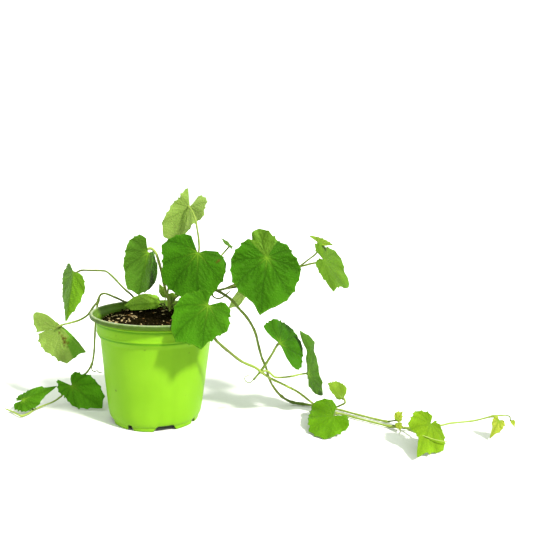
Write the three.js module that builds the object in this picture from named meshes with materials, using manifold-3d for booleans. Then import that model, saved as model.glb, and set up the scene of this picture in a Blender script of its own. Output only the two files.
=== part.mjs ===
import * as THREE from "three";
import { mergeVertices } from "three/addons/utils/BufferGeometryUtils.js";
import Module from "manifold-3d";

// Potted cucamelon vine. Millimetres, +Z up, the pot's axis on the Z axis while the pieces are drawn.

// Pot
const POT_HEIGHT = 96;
const RIM_RADIUS = 57.5;
const LIP_DEPTH = 5;
const OPENING_RADIUS = 53;
const COLLAR_RADIUS = 52;
const COLLAR_BOTTOM = 78.5;
const BODY_TOP_RADIUS = 48.4;
const BODY_TOP = 74;
const BODY_FOOT_RADIUS = 41.8;
const FOOT_RADIUS = 38.6;
const FOOT_HEIGHT = 3.6;
const WALL = 1.2;
const POT_SIDES = 40;

// Soil, its fit in the pot and the holes that the stems stand in
const SOIL_FLOOR = 5.4;
const SOIL_LEVEL = 88.5;
const SOIL_GAP = 0.3;
const HOLE_DEPTH = 24;
const HOLE_SIDES = 10;
const STEM_GAP = 0.35;

// Leaf blades
const BLADE = 0.6;
const LEAF_GAP = 0.5;
const TOOTH = 1.3;

// Stems
const STEM_SIDES = 6;
const STEM_STEP = 7.5;

const COLORS = {
  pot: 0x84d626, soil: 0x2e2a1c, stem: 0x86a548, shoot: 0xb4cc5c,
  leaf: 0x4f8f22, shade: 0x4b7f33, pale: 0x93b75a, fresh: 0x8cc02c,
};

const wasm = await Module();
wasm.setup();

const vector = (p) => new THREE.Vector3(p[0], p[1], p[2]);

// Solids

function geometryFrom(positions, triangles) {
  const geometry = new THREE.BufferGeometry();
  geometry.setAttribute("position", new THREE.Float32BufferAttribute(positions, 3));
  geometry.setIndex(triangles);
  return geometry;
}

function welded(geometry) {
  const bare = geometry.clone();
  bare.deleteAttribute("normal");
  bare.deleteAttribute("uv");
  const merged = mergeVertices(bare, 1e-4);
  const index = merged.index.array;
  const kept = [];
  for (let i = 0; i < index.length; i += 3) {
    const [a, b, c] = [index[i], index[i + 1], index[i + 2]];
    if (a !== b && b !== c && a !== c) kept.push(a, b, c);
  }
  return geometryFrom(merged.attributes.position.array, kept);
}

function toSolid(geometry) {
  const clean = welded(geometry);
  return new wasm.Manifold(new wasm.Mesh({
    numProp: 3,
    vertProperties: new Float32Array(clean.attributes.position.array),
    triVerts: new Uint32Array(clean.index.array),
  }));
}

function toGeometry(solid) {
  const mesh = solid.getMesh();
  return geometryFrom(Array.from(mesh.vertProperties), Array.from(mesh.triVerts));
}

function material(color, roughness) {
  return new THREE.MeshStandardMaterial({ color, roughness, metalness: 0 });
}

function node(name, geometry, color, roughness = 0.6) {
  const mesh = new THREE.Mesh(geometry, material(color, roughness));
  mesh.name = name;
  return mesh;
}

// Pot

function potOuterProfile() {
  return [
    [FOOT_RADIUS - 0.5, 0], [FOOT_RADIUS, 0.5], [FOOT_RADIUS + 0.3, FOOT_HEIGHT], [FOOT_RADIUS + 1.2, 4.4],
    [BODY_FOOT_RADIUS - 0.9, 8], [BODY_FOOT_RADIUS, 14], [BODY_TOP_RADIUS, BODY_TOP],
    [COLLAR_RADIUS - 0.8, COLLAR_BOTTOM], [COLLAR_RADIUS, POT_HEIGHT - LIP_DEPTH],
    [RIM_RADIUS - 0.9, POT_HEIGHT - LIP_DEPTH], [RIM_RADIUS, POT_HEIGHT - LIP_DEPTH + 1.2],
    [RIM_RADIUS, POT_HEIGHT - 1.6], [RIM_RADIUS - 1.3, POT_HEIGHT - 0.3], [RIM_RADIUS - 2.6, POT_HEIGHT],
    [OPENING_RADIUS + 0.7, POT_HEIGHT - 0.6], [OPENING_RADIUS, POT_HEIGHT - 2],
  ];
}

function potInnerProfile() {
  return [
    [COLLAR_RADIUS - WALL, POT_HEIGHT - LIP_DEPTH - 1.4], [COLLAR_RADIUS - 0.8 - WALL, COLLAR_BOTTOM],
    [BODY_TOP_RADIUS - WALL, BODY_TOP - 0.6], [BODY_FOOT_RADIUS - WALL, 14.4],
    [BODY_FOOT_RADIUS - 0.9 - WALL, 9], [FOOT_RADIUS + 1.2 - WALL, SOIL_FLOOR - 0.3],
  ];
}

function lathe(profile, sides) {
  const points = profile.map(([r, z]) => new THREE.Vector2(r, z));
  return new THREE.LatheGeometry(points, sides).rotateX(Math.PI / 2);
}

function potGeometry() {
  const inner = potInnerProfile();
  const floorTop = inner[inner.length - 1][1];
  const profile = [[0, FOOT_HEIGHT], [FOOT_RADIUS - 2.4, FOOT_HEIGHT], [FOOT_RADIUS - 2, 0],
    ...potOuterProfile(), ...inner, [0, floorTop]];
  let pot = toSolid(lathe(profile, POT_SIDES));
  for (let i = 0; i < 4; i += 1) {
    const wide = THREE.MathUtils.degToRad(-65 + 90 * i);
    const narrow = THREE.MathUtils.degToRad(-20 + 90 * i);
    pot = pot.subtract(footNotch(wide, 9.5, 5.5, 3.1)).subtract(footNotch(narrow, 2, 1.1, 2.7));
    pot = pot.subtract(drainHole(narrow));
  }
  return toGeometry(pot);
}

function footNotch(angle, halfBottom, halfTop, height) {
  const outline = new THREE.Shape([
    new THREE.Vector2(-halfBottom, -1), new THREE.Vector2(halfBottom, -1),
    new THREE.Vector2(halfBottom, 0), new THREE.Vector2(halfTop, height),
    new THREE.Vector2(-halfTop, height), new THREE.Vector2(-halfBottom, 0),
  ]);
  const cutter = new THREE.ExtrudeGeometry(outline, { depth: 8, bevelEnabled: false });
  cutter.rotateX(Math.PI / 2).translate(0, 42, 0).rotateZ(angle - Math.PI / 2);
  return toSolid(cutter);
}

function drainHole(angle) {
  const hole = new THREE.CylinderGeometry(4, 4, 6, 12).rotateX(Math.PI / 2);
  return toSolid(hole.translate(26 * Math.cos(angle), 26 * Math.sin(angle), FOOT_HEIGHT));
}

// Soil

function soilSurface(x, y) {
  const slope = 0.03 * x + 0.055 * y;
  const crumbs = 0.9 * Math.sin(0.31 * x + 0.9) * Math.cos(0.27 * y - 0.4)
    + 0.6 * Math.sin(0.71 * x - 0.43 * y) + 0.45 * Math.cos(0.52 * x + 0.88 * y + 1.1);
  return SOIL_LEVEL + slope + crumbs;
}

function innerRadius(z) {
  const wall = potInnerProfile();
  for (let i = 1; i < wall.length; i += 1) {
    const [r0, z0] = wall[i - 1];
    const [r1, z1] = wall[i];
    if (z >= z1) return r1 + ((r0 - r1) * Math.min(z - z1, z0 - z1)) / (z0 - z1);
  }
  return wall[wall.length - 1][0];
}

function soilGeometry(stems) {
  const sides = 36;
  const rings = 7;
  const levels = [BODY_TOP - 0.6, 14.4, 9, SOIL_FLOOR];
  const positions = [0, 0, soilSurface(0, 0)];
  const loop = (radiusAt, heightAt) => {
    for (let j = 0; j < sides; j += 1) {
      const a = (2 * Math.PI * j) / sides;
      const r = radiusAt(a);
      positions.push(r * Math.cos(a), r * Math.sin(a), heightAt(r * Math.cos(a), r * Math.sin(a)));
    }
  };
  const inset = Math.cos(Math.PI / POT_SIDES);
  const edge = (innerRadius(COLLAR_BOTTOM + 3) - 0.6) * inset;
  for (let i = 1; i <= rings; i += 1) loop(() => (edge * i) / rings, soilSurface);
  for (const z of levels) loop(() => (innerRadius(z) - SOIL_GAP) * inset, () => z);
  positions.push(0, 0, SOIL_FLOOR);
  const triangles = [];
  const ringStart = (i) => 1 + (i - 1) * sides;
  const loops = rings + levels.length;
  for (let j = 0; j < sides; j += 1) {
    const k = (j + 1) % sides;
    triangles.push(0, ringStart(1) + j, ringStart(1) + k);
    for (let i = 1; i < loops; i += 1) {
      const [a, b, c, d] = [ringStart(i) + j, ringStart(i) + k, ringStart(i + 1) + j, ringStart(i + 1) + k];
      triangles.push(a, c, d, a, d, b);
    }
    triangles.push(ringStart(loops) + j, 1 + loops * sides, ringStart(loops) + k);
  }
  let soil = toSolid(geometryFrom(positions, triangles));
  for (const stem of stems) soil = soil.subtract(plantingHole(stem));
  return toGeometry(soil);
}

function plantingHole({ root, radius }) {
  const hole = new THREE.CylinderGeometry(radius + STEM_GAP, radius + STEM_GAP, 2 * HOLE_DEPTH, HOLE_SIDES);
  return toSolid(hole.rotateX(Math.PI / 2).translate(root[0], root[1], SOIL_LEVEL + 2));
}

// Stems, petioles and tendrils

function tube(points, startRadius, endRadius = startRadius, sides = STEM_SIDES, step = STEM_STEP) {
  const curve = new THREE.CatmullRomCurve3(points.map(vector), false, "centripetal");
  const count = Math.max(3, Math.round(curve.getLength() / step));
  const frames = curve.computeFrenetFrames(count, false);
  const positions = [];
  for (let i = 0; i <= count; i += 1) {
    const center = curve.getPointAt(i / count);
    const radius = THREE.MathUtils.lerp(startRadius, endRadius, i / count);
    for (let j = 0; j < sides; j += 1) {
      const a = (2 * Math.PI * j) / sides;
      const spoke = frames.normals[i].clone().multiplyScalar(radius * Math.cos(a));
      spoke.addScaledVector(frames.binormals[i], radius * Math.sin(a)).add(center);
      positions.push(spoke.x, spoke.y, spoke.z);
    }
  }
  const triangles = [];
  for (let j = 0; j < sides; j += 1) {
    const k = (j + 1) % sides;
    for (let i = 0; i < count; i += 1) {
      const [a, b, c, d] = [i * sides + j, i * sides + k, (i + 1) * sides + j, (i + 1) * sides + k];
      triangles.push(a, b, d, a, d, c);
    }
    if (j > 0 && k > 0) {
      triangles.push(0, k, j);
      triangles.push(count * sides, count * sides + j, count * sides + k);
    }
  }
  return geometryFrom(positions, triangles);
}

// A vine is its main stem, from deep in its planting hole, with its side shoots fused to it.
function vineGeometry(vine) {
  const [x, y] = vine.root;
  const foot = [4 - HOLE_DEPTH, -8, 1.5, 4.2].map((z) => [x, y, SOIL_LEVEL + z]);
  let solid = toSolid(tube([...foot, ...vine.route], vine.radius, vine.tipRadius ?? vine.radius));
  for (const shoot of vine.shoots) {
    const points = shoot.leaf ? [...shoot.route, ...leafApproach(shoot.leaf)] : shoot.route;
    const [start, end] = shoot.radii ?? PETIOLE_RADII;
    solid = solid.add(toSolid(tube(points, start, end, shoot.sides ?? 5, shoot.step ?? STEM_STEP)));
  }
  return toGeometry(solid);
}

const PETIOLE_RADII = [1, 0.75];

// The last two points of a petiole: it comes up to the underside of the blade at the leaf's junction.
function leafApproach(name) {
  const leaf = LEAVES.find((entry) => entry.name === name);
  const { face } = leafAxes(leaf);
  const end = vector(leaf.at).addScaledVector(face, -(BLADE / 2 + LEAF_GAP));
  const before = end.clone().addScaledVector(face, -2.2);
  return [before.toArray(), end.toArray()];
}

// Leaves
// A blade is drawn in its own plane, in polar form round the petiole: 0 degrees points at the tip and
// positive angles are the leaf's left. left and right give the radius at equal steps of that side's
// spread. The blade then rises out of its plane by fold, bend, curl and waves.

function leafAxes(leaf) {
  const along = vector(leaf.tip).normalize();
  const face = vector(leaf.face);
  face.addScaledVector(along, -face.dot(along)).normalize();
  const left = new THREE.Vector3().crossVectors(face, along);
  return { along, face, left };
}

function outlineRadius(leaf, side, fraction) {
  const radii = [vector(leaf.tip).length(), ...leaf[side]];
  const steps = radii.length - 1;
  const x = fraction * steps;
  const i = Math.min(steps - 1, Math.floor(x));
  const t = x - i;
  const p0 = radii[Math.max(0, i - 1)];
  const [p1, p2] = [radii[i], radii[i + 1]];
  const p3 = radii[Math.min(steps, i + 2)];
  if (i === 0 && p1 > p2) return p2 + (p1 - p2) * (1 - t) ** 1.7;
  const smooth = 0.5 * (2 * p1 + (p2 - p0) * t + (2 * p0 - 5 * p1 + 4 * p2 - p3) * t * t
    + (3 * p1 - p0 - 3 * p2 + p3) * t * t * t);
  const straight = p1 + (p2 - p1) * t;
  return 0.5 * (smooth + straight);
}

function bladeHeight(leaf, u, v, reach, angle) {
  const length = vector(leaf.tip).length();
  const [foldLeft, foldRight] = leaf.fold ?? [0, 0];
  const fold = (v > 0 ? foldLeft : foldRight) * (Math.hypot(v, 1.5) - 1.5);
  const bend = -(leaf.bend ?? 0) * (u * u) / length;
  const curl = (leaf.curl ?? 0) * (v * v) / length;
  const wave = (leaf.wave ?? 1) * reach * reach * Math.sin(5 * angle + (leaf.seed ?? 0));
  const tuck = -(leaf.tuck ?? 0) * reach * THREE.MathUtils.smoothstep(Math.abs(angle), 2.45, 2.95);
  return fold + bend + curl + wave + tuck;
}

function bladeGeometry(leaf) {
  const count = leaf.points ?? 40;
  const rings = leaf.rings ?? [0.5, 1];
  const { along, face, left } = leafAxes(leaf);
  const [spreadLeft, spreadRight] = leaf.spread.map(THREE.MathUtils.degToRad);
  const notch = (leaf.tooth ?? 1) * TOOTH;
  const sweep = (leaf.sweep ?? 0) / vector(leaf.tip).length();
  const tipPoint = Math.round((count * spreadRight) / (spreadLeft + spreadRight));
  const middle = [new THREE.Vector3()];
  for (const reach of rings) {
    for (let j = 0; j <= count; j += 1) {
      const side = j > tipPoint ? "left" : "right";
      const fraction = j > tipPoint ? (j - tipPoint) / (count - tipPoint) : 1 - j / tipPoint;
      const angle = fraction * (j > tipPoint ? spreadLeft : -spreadRight);
      const tooth = reach === 1 && (j - tipPoint) % 2 !== 0 ? notch : 0;
      const radius = outlineRadius(leaf, side, fraction) - tooth;
      const u = reach * radius * Math.cos(angle);
      const v = reach * radius * Math.sin(angle);
      middle.push(new THREE.Vector3(u, v, bladeHeight(leaf, u, v, reach, angle)));
    }
  }
  const start = (i) => 1 + i * (count + 1);
  const top = [];
  for (let j = 0; j < count; j += 1) {
    top.push([0, start(0) + j, start(0) + j + 1]);
    for (let i = 1; i < rings.length; i += 1) {
      const [a, b, c, d] = [start(i - 1) + j, start(i - 1) + j + 1, start(i) + j, start(i) + j + 1];
      top.push([a, c, d], [a, d, b]);
    }
  }
  const normals = middle.map(() => new THREE.Vector3());
  for (const [a, b, c] of top) {
    const normal = middle[b].clone().sub(middle[a]).cross(middle[c].clone().sub(middle[a]));
    for (const corner of [a, b, c]) normals[corner].add(normal);
  }
  const positions = [];
  for (const offset of [BLADE / 2, -BLADE / 2]) {
    middle.forEach((point, i) => {
      const p = point.clone().addScaledVector(normals[i].normalize(), offset);
      const swept = p.y + sweep * Math.max(0, p.x) ** 2;
      const world = vector(leaf.at).addScaledVector(along, p.x).addScaledVector(left, swept);
      world.addScaledVector(face, p.z);
      positions.push(world.x, world.y, world.z);
    });
  }
  const under = middle.length;
  const border = [0];
  for (let i = 0; i < rings.length; i += 1) border.push(start(i));
  for (let j = 1; j <= count; j += 1) border.push(start(rings.length - 1) + j);
  for (let i = rings.length - 2; i >= 0; i -= 1) border.push(start(i) + count);
  const triangles = [];
  for (const [a, b, c] of top) triangles.push(a, b, c, under + a, under + c, under + b);
  border.forEach((a, i) => {
    const b = border[(i + 1) % border.length];
    triangles.push(a, under + a, under + b, a, under + b, b);
  });
  return geometryFrom(positions, triangles);
}

const SMALL = { points: 18, rings: [0.55, 1], tooth: 0.6, wave: 0.4 };
const MIDDLE = { points: 28, rings: [0.55, 1], tooth: 0.8, wave: 0.8 };

const LEAVES = [
  { name: "leaf_crown", color: "pale", at: [24, 26, 188.5], tip: [-12.5, -5, -31.5], face: [0.29, 0.89, -0.34],
    spread: [150, 160], left: [36, 28, 20.5, 17, 14.5, 13.5, 15.5, 18.5], right: [26, 20.5, 19, 21, 20, 20.5, 17.5, 14.5],
    fold: [-0.3, -0.5], wave: 1.2, seed: 1 },
  { name: "leaf_upper_left", color: "shade", at: [-8, -2, 148], tip: [-6, -12, -35], face: [0.7, -0.7, 0.12],
    spread: [100, 155], left: [34.5, 33, 31, 28.5, 23, 16, 12, 12], right: [37, 27.5, 24, 22, 20.5, 19.5, 19, 18, 13],
    fold: [-0.6, -0.2], wave: 0.8, seed: 2 },
  { name: "leaf_center", color: "leaf", at: [36, -6, 150], tip: [2, -18, -36], face: [-0.04, -0.9, 0.44],
    spread: [110, 160], left: [40, 35.5, 33.5, 29.5, 26.5, 22.5, 17.5, 7], right: [41, 40, 39, 33.5, 32, 34, 31, 25, 17],
    fold: [-0.15, -0.15], bend: 0.12, wave: 1.4, seed: 3, rings: [0.4, 0.75, 1], points: 44 },
  { name: "leaf_front", color: "leaf", at: [50, -46, 112], tip: [-3, -16, -32], face: [0.19, -0.89, 0.42],
    spread: [115, 185], left: [29.5, 26.5, 26, 24, 21, 20, 16.5, 12], right: [35.5, 43.5, 35.5, 28, 24.5, 21.5, 19.5, 17, 15.5, 13.5, 11.5, 10],
    fold: [-0.2, -0.2], wave: 1.2, seed: 4, rings: [0.4, 0.75, 1], points: 44 },
  { name: "leaf_right_large", color: "leaf", at: [96, -10, 148], tip: [-4, -14, -47], face: [0.25, -0.93, 0.26],
    spread: [210, 144], left: [42, 39.5, 35.5, 32.5, 25.5, 23.5, 20, 22.5, 26, 27.5], right: [39, 38.5, 36, 31.5, 29.5, 26.5, 23.5, 17],
    fold: [-0.1, -0.1], wave: 1.5, seed: 5, tuck: 5, rings: [0.4, 0.75, 1], points: 52 },
  { name: "leaf_far_right", color: "leaf", at: [146, 0, 147], tip: [8, -16, -25], face: [0.57, -0.59, 0.57],
    spread: [180, 110], left: [28.5, 30, 36.5, 32.5, 30, 31, 28.5, 19, 15.5, 13], right: [20.5, 16, 13, 11, 7, 5.5],
    fold: [-0.2, -0.2], wave: 0.8, seed: 6 },
  { name: "leaf_far_right_upper", color: "fresh", at: [140.5, 13, 162.5], tip: [12.5, -6, -2], face: [0.2, -0.5, 0.9],
    spread: [150, 90], left: [11, 9, 8, 9, 13, 15], right: [9, 6, 5, 4, 4, 3], ...SMALL, seed: 7 },
  { name: "leaf_left_folded", color: "shade", at: [-84, 30, 124], tip: [-2.5, -12, -45], face: [-0.58, -0.78, 0.23],
    spread: [85, 135], left: [38, 32, 25, 22, 19, 16, 12.5, 7.5], right: [33, 29, 24, 21, 20.5, 20, 18, 12.5],
    fold: [-0.3, -0.2], wave: 0.7, seed: 8 },
  { name: "leaf_left_low", color: "pale", at: [-95, 22, 73], tip: [30, -17, -18], face: [0.35, 0.9, -0.26],
    spread: [128, 230], left: [35, 35.5, 31.5, 27, 25.5, 25, 25.5, 25], right: [9, 5.5, 4, 3, 3, 3, 3, 5, 23.5, 30, 26, 25.5],
    fold: [-0.1, -0.1], wave: 1, seed: 9, tuck: 2, rings: [0.4, 0.75, 1], points: 44 },
  { name: "leaf_left_ground", color: "shade", at: [-80, 12, 20.5], tip: [30, -8, -17.4], face: [-0.06, -0.88, 0.48],
    spread: [145, 168], left: [32, 25.5, 20, 18, 14.5, 13.5, 12.5, 8.5], right: [26, 20.5, 15, 13, 12.5, 14, 15, 15.5],
    fold: [-0.2, -0.3], wave: 1, seed: 10, points: 36 },
  { name: "leaf_left_tip", color: "leaf", at: [-118, -6, 12], tip: [26, 12, 10], face: [0.14, -0.7, 0.7],
    spread: [160, 180], left: [19.5, 13, 11, 9, 7.5, 8, 8, 5.5], right: [17, 14.5, 12, 11, 10.5, 10.5, 10, 7],
    fold: [-0.5, -0.3], wave: 0.8, seed: 11, points: 36 },
  { name: "leaf_on_soil", color: "pale", at: [-3, 30, 97.5], tip: [-32, -5, -2.5], face: [0.1, 0.9, 0.3],
    spread: [90, 60], left: [25, 19, 12, 9, 7, 5], right: [26, 13, 8, 6.5, 6, 5], ...MIDDLE, seed: 12 },
  { name: "seed_leaf_left", color: "pale", at: [4, 27.5, 103.5], tip: [-6.5, -3, 13], face: [-0.3, -0.9, 0.2],
    spread: [150, 150], left: [8, 5, 3, 2, 1.6, 1.2], right: [8, 5, 3, 2, 1.6, 1.2],
    ...SMALL, tooth: 0 },
  { name: "seed_leaf_right", color: "pale", at: [10, 25.5, 100.5], tip: [3, -3, 10.5], face: [0.3, -0.9, 0.2],
    spread: [150, 150], left: [8.5, 5, 3, 2, 1.6, 1.2], right: [8.5, 5, 3, 2, 1.6, 1.2],
    ...SMALL, tooth: 0 },
  { name: "leaf_behind_upper", color: "shade", at: [62, 22, 154.7], tip: [-10, -2, 8], face: [0.6, -0.15, 0.78],
    spread: [150, 150], left: [12, 11, 10, 9, 8, 7], right: [12, 11, 10, 9, 8, 7], ...SMALL, seed: 13 },
  { name: "leaf_behind_lower", color: "pale", at: [76, 20, 112], tip: [-13, -8, -14], face: [-0.4, 0.7, 0.5],
    spread: [150, 150], left: [15, 11, 8, 7, 6, 5], right: [15, 11, 8, 7, 6, 5], ...SMALL, seed: 14 },
  { name: "leaf_right_arched", color: "leaf", at: [110, -6, 72], tip: [19, 23, 4], face: [0.63, -0.6, 0.5],
    spread: [125, 88], left: [29.5, 27.5, 25.5, 24, 23.5, 22.5, 20.5, 13], right: [31, 33, 34, 33, 33.5, 30.5, 28.5, 17],
    fold: [-0.1, -0.1], bend: 0.15, wave: 1, seed: 15 },
  { name: "leaf_right_upright", color: "shade", at: [136, 6, 41.5], tip: [0, 7, 37], face: [0.8, -0.55, 0.1],
    spread: [150, 180], left: [14, 11, 10, 9, 8, 7.5, 7, 8, 10, 7], right: [37, 34.5, 25.5, 22, 19.5, 27, 34, 23, 17.5, 12],
    fold: [0.7, 0], sweep: 0.35, wave: 0.9, seed: 16 },
  { name: "leaf_right_ground", color: "fresh", at: [159, -16, 11], tip: [-22, -14, -8], face: [-0.29, -0.4, 0.85],
    spread: [150, 145], left: [29, 28.5, 23.5, 20, 18.5, 16.5, 14.5, 12], right: [24, 21.5, 22.5, 24.5, 27, 27.5, 26, 14],
    fold: [-0.1, -0.1], wave: 1, seed: 17 },
  { name: "leaf_right_small", color: "pale", at: [170, 6, 19], tip: [-14, 6, 12], face: [-0.23, 0.73, -0.64],
    spread: [80, 60], left: [19, 19, 16.5, 15, 13, 7], right: [15.5, 11.5, 8, 6, 5, 4], ...MIDDLE, seed: 18 },
  { name: "leaf_node_upper", color: "fresh", at: [217, -8, 6], tip: [6, 4, 7], face: [0.2, -0.8, 0.5],
    spread: [100, 100], left: [9, 8, 6, 4, 3, 2], right: [8, 6, 5, 4, 3, 2], ...SMALL, seed: 19 },
  { name: "leaf_node_lower", color: "fresh", at: [215.5, -16, 6.5], tip: [2, -7, -4], face: [0.1, -0.5, 0.85],
    spread: [120, 90], left: [6, 6, 5.5, 5, 4, 3], right: [6, 5, 4, 3, 3, 2], ...SMALL, seed: 20 },
  { name: "leaf_vine_tip", color: "fresh", at: [236, -46, 19], tip: [-18, -30, -15.8], face: [0.27, -0.6, 0.75],
    spread: [160, 175], left: [28, 23.5, 22.5, 19.5, 17.5, 14, 11, 8.5, 8], right: [21, 19.5, 19.5, 18, 16.5, 16, 14.5, 13, 10.5, 9],
    fold: [-0.3, -0.2], wave: 1, seed: 21, points: 36 },
  { name: "leaf_end_small", color: "fresh", at: [302.5, -22, 15], tip: [-10.5, -9, -13.5], face: [0.28, -0.87, 0.41],
    spread: [130, 130], left: [12, 9.5, 8, 7.5, 7.5, 5.5, 3.5], right: [10, 8, 6.5, 6.5, 5.5, 4.5, 3.5], ...SMALL, seed: 22 },
  { name: "leaf_end_bud", color: "fresh", at: [316, -18, 13.5], tip: [1, -3, -5], face: [0.3, -0.8, 0.3],
    spread: [120, 120], left: [4, 3.5, 3, 2.5, 2, 1.5], right: [4, 3.5, 3, 2.5, 2, 1.5], ...SMALL,
    tooth: 0.2, wave: 0.1 },
];

const VINES = [
  { name: "vine_left", color: "stem", root: [0.5, 34], radius: 1.2, tipRadius: 0.7,
    route: [[-2, 34.8, 95], [-8, 36, 95.8], [-16, 37.3, 95.4], [-25.5, 38, 95.5], [-34.5, 37, 95.5], [-46, 35, 100.5],
      [-56, 32.5, 104.5], [-59.5, 32, 103], [-61.5, 31.5, 97], [-63, 32, 88.5], [-64, 32, 78.5],
      [-65, 32, 59], [-65.5, 31, 46], [-67, 29, 36], [-71, 27, 29], [-76, 26, 24.5], [-84, 24, 16],
      [-92, 20, 8], [-98, 14, 4], [-105.5, 6, 2.4], [-109.5, -3, 2], [-111, -12, 2],
      [-114.5, -17.5, 2], [-120, -14, 2], [-127, -8.5, 2], [-135.5, -4.5, 3]],
    shoots: [
      { leaf: "leaf_left_folded", route: [[-25.5, 38, 95.5], [-31, 36.5, 103], [-37.5, 35, 109], [-49, 34, 121],
        [-54.5, 33, 125.5], [-58, 32.5, 126], [-69, 32, 126], [-78, 33, 125.5]] },
      { leaf: "leaf_left_low", route: [[-61.5, 31.5, 97], [-66.5, 33, 91], [-71.5, 33, 83.5], [-78, 30, 79],
        [-85, 25.5, 77], [-90, 21, 76.2], [-93.5, 18.6, 75.2]], step: 4 },
      { leaf: "leaf_left_ground", route: [[-76, 26, 24.5], [-78.5, 21, 23]] },
      { leaf: "leaf_left_tip", route: [[-109.7, -4, 2], [-113.5, -1.8, 5]] },
      { leaf: "leaf_on_soil", route: [[-1, 35.2, 93], [1.5, 31.5, 96], [0, 28, 98]], radii: [0.8, 0.7], step: 3 },
      { route: [[-67, 29, 36], [-66, 27.5, 31], [-63, 26, 30.5], [-60.5, 25.5, 31.5], [-59, 25, 30], [-54, 24, 31]],
        radii: [0.5, 0.4], sides: 4, step: 3 },
    ] },
  { name: "vine_main", color: "stem", root: [8, 20], radius: 1.5, tipRadius: 0.9,
    route: [[9, 20, 98], [17.5, 20, 106], [28, 18, 114], [40, 12, 118.5], [51, 5, 116.5], [65, 0, 109.5],
      [72, 0, 102], [80.5, 3, 92], [87.5, 7, 79], [91, 12, 65.5], [94.5, 18, 52], [99, 23, 40.5],
      [101.5, 27, 31], [105.5, 31, 21.5], [114, 35, 10], [124.5, 38, 3], [137.5, 36, 1.8], [152, 32, 1.8],
      [167, 26, 1.8], [186, 13.5, 1.8], [204.5, 2, 1.8], [212, -4, 2.6]],
    shoots: [
      { leaf: "leaf_crown", route: [[8, 19.5, 98], [18, 17, 112], [27, 14, 126], [32.5, 12.5, 137],
        [34.5, 12, 148.5], [34.5, 12, 160], [33, 10.5, 170], [31.5, 10, 178], [28, 14.5, 185]] },
      { leaf: "leaf_upper_left", route: [[8, 19, 98], [6.5, 14, 111], [2.5, 8, 128], [0, 5, 140], [-2.5, 4, 148],
        [-6.5, 4, 151.5], [-10, 3.3, 150.5]], step: 5 },
      { leaf: "leaf_center", route: [[8, 19.5, 98], [22.5, 12, 110], [31, 6, 124.5], [35, 1, 138]] },
      { leaf: "leaf_front", route: [[8, 19, 98], [20, 6, 107], [33, -12, 109], [43, -30, 108.5]] },
      { leaf: "leaf_right_large", route: [[8, 20, 98], [23, 20, 111.5], [38.5, 18, 116.5], [53.5, 15, 114.5],
        [64.5, 10, 119.5], [78, 6, 127], [89, 0, 139]] },
      { leaf: "leaf_far_right", route: [[53.5, 15, 114.5], [64, 19, 117], [81.5, 20, 124], [104, 18, 133.5],
        [125.5, 14, 138.5], [135, 10, 142]] },
      { leaf: "leaf_far_right_upper", route: [[125.5, 14, 138.5], [133, 14, 145], [139, 13.5, 152]],
        radii: [0.8, 0.7] },
      { leaf: "leaf_behind_upper", route: [[38.5, 18, 116.5], [42, 17, 127], [50, 18, 140], [56, 20, 147.5]],
        radii: [0.8, 0.7] },
      { leaf: "leaf_behind_lower", route: [[53.5, 15, 114.5], [65, 21, 116], [74, 23.5, 117],
        [79, 23, 115], [80, 20, 112]], radii: [0.8, 0.7], step: 4 },
      { leaf: "seed_leaf_left", route: [[8, 20, 96], [8, 26.5, 99.5]], radii: [0.8, 0.7], step: 3 },
      { leaf: "seed_leaf_right", route: [[8, 20, 96], [9.5, 25, 97.5]], radii: [0.8, 0.7], step: 3 },
      { leaf: "leaf_right_small", route: [[158, 30, 1.8], [163, 20, 5], [169, 9, 12], [172, 3.5, 17]] },
      { leaf: "leaf_node_upper", route: [[210, -2, 2.2], [213, -5, 4]], radii: [0.8, 0.6] },
    ] },
  { name: "vine_right", color: "shoot", root: [20, 12], radius: 1.3, tipRadius: 0.6,
    route: [[21, 11, 96.5], [27.5, 2, 101.5], [37.5, -16, 104], [45.5, -31, 102.5], [50, -38, 96.5],
      [55, -41, 84.5], [60.5, -36, 77], [67.5, -29, 69], [77.5, -19, 58.5], [89.5, -8, 50],
      [94, -4, 45.5], [102, 4, 37.5], [115.5, 13, 28.5], [129, 19, 20], [140, 21, 11.5], [151, 19.5, 4],
      [160, 17, 1.8], [170, 14, 1.8], [186.5, 3, 1.8], [200, -5.5, 1.8], [210, -12, 2], [222.5, -17, 3],
      [235.5, -19, 5], [252.5, -20, 7.5], [261.5, -18, 9], [283.5, -15, 11], [299, -17, 16.5],
      [306, -17, 17.5], [311, -17, 17.2]],
    shoots: [
      { leaf: "leaf_right_arched", route: [[94, -4, 45.5], [98, -5, 52], [103.5, -6, 62]] },
      { leaf: "leaf_right_upright", route: [[94, -4, 45.5], [100, -2, 45.5], [103.5, -1, 42.5], [107, 0, 39.5],
        [113, 1, 39], [122.5, 4, 39.5], [129, 8, 40]] },
      { leaf: "leaf_right_ground", route: [[165, 15.5, 1.8], [163, 4, 5]] },
      { leaf: "leaf_vine_tip", route: [[222.5, -17, 3], [228, -27, 5.5], [233, -36, 10]] },
      { leaf: "leaf_end_bud", route: [[306, -17, 17.5], [311, -16.5, 17.2], [314.5, -15.5, 16]], radii: [0.6, 0.5] },
      { leaf: "leaf_end_small", route: [[299, -17, 16.5], [300.5, -17.5, 16.5]], radii: [0.6, 0.5] },
      { leaf: "leaf_node_lower", route: [[210, -12, 2], [213, -13, 3]], radii: [0.7, 0.6] },
      { route: [[94, -4, 45.5], [90, -6, 41], [88, -8, 39]], radii: [1.1, 0.9] },
      { route: [[88, -8, 39], [85, -9, 36.5], [81.5, -9.5, 37.5], [80, -9.5, 40.5], [82.5, -9.5, 43],
        [86, -9, 42.5]], radii: [0.45, 0.4], sides: 4, step: 2.5 },
    ] },
];

// The whole plant in its pot, with the origin at the middle of its footprint

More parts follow.
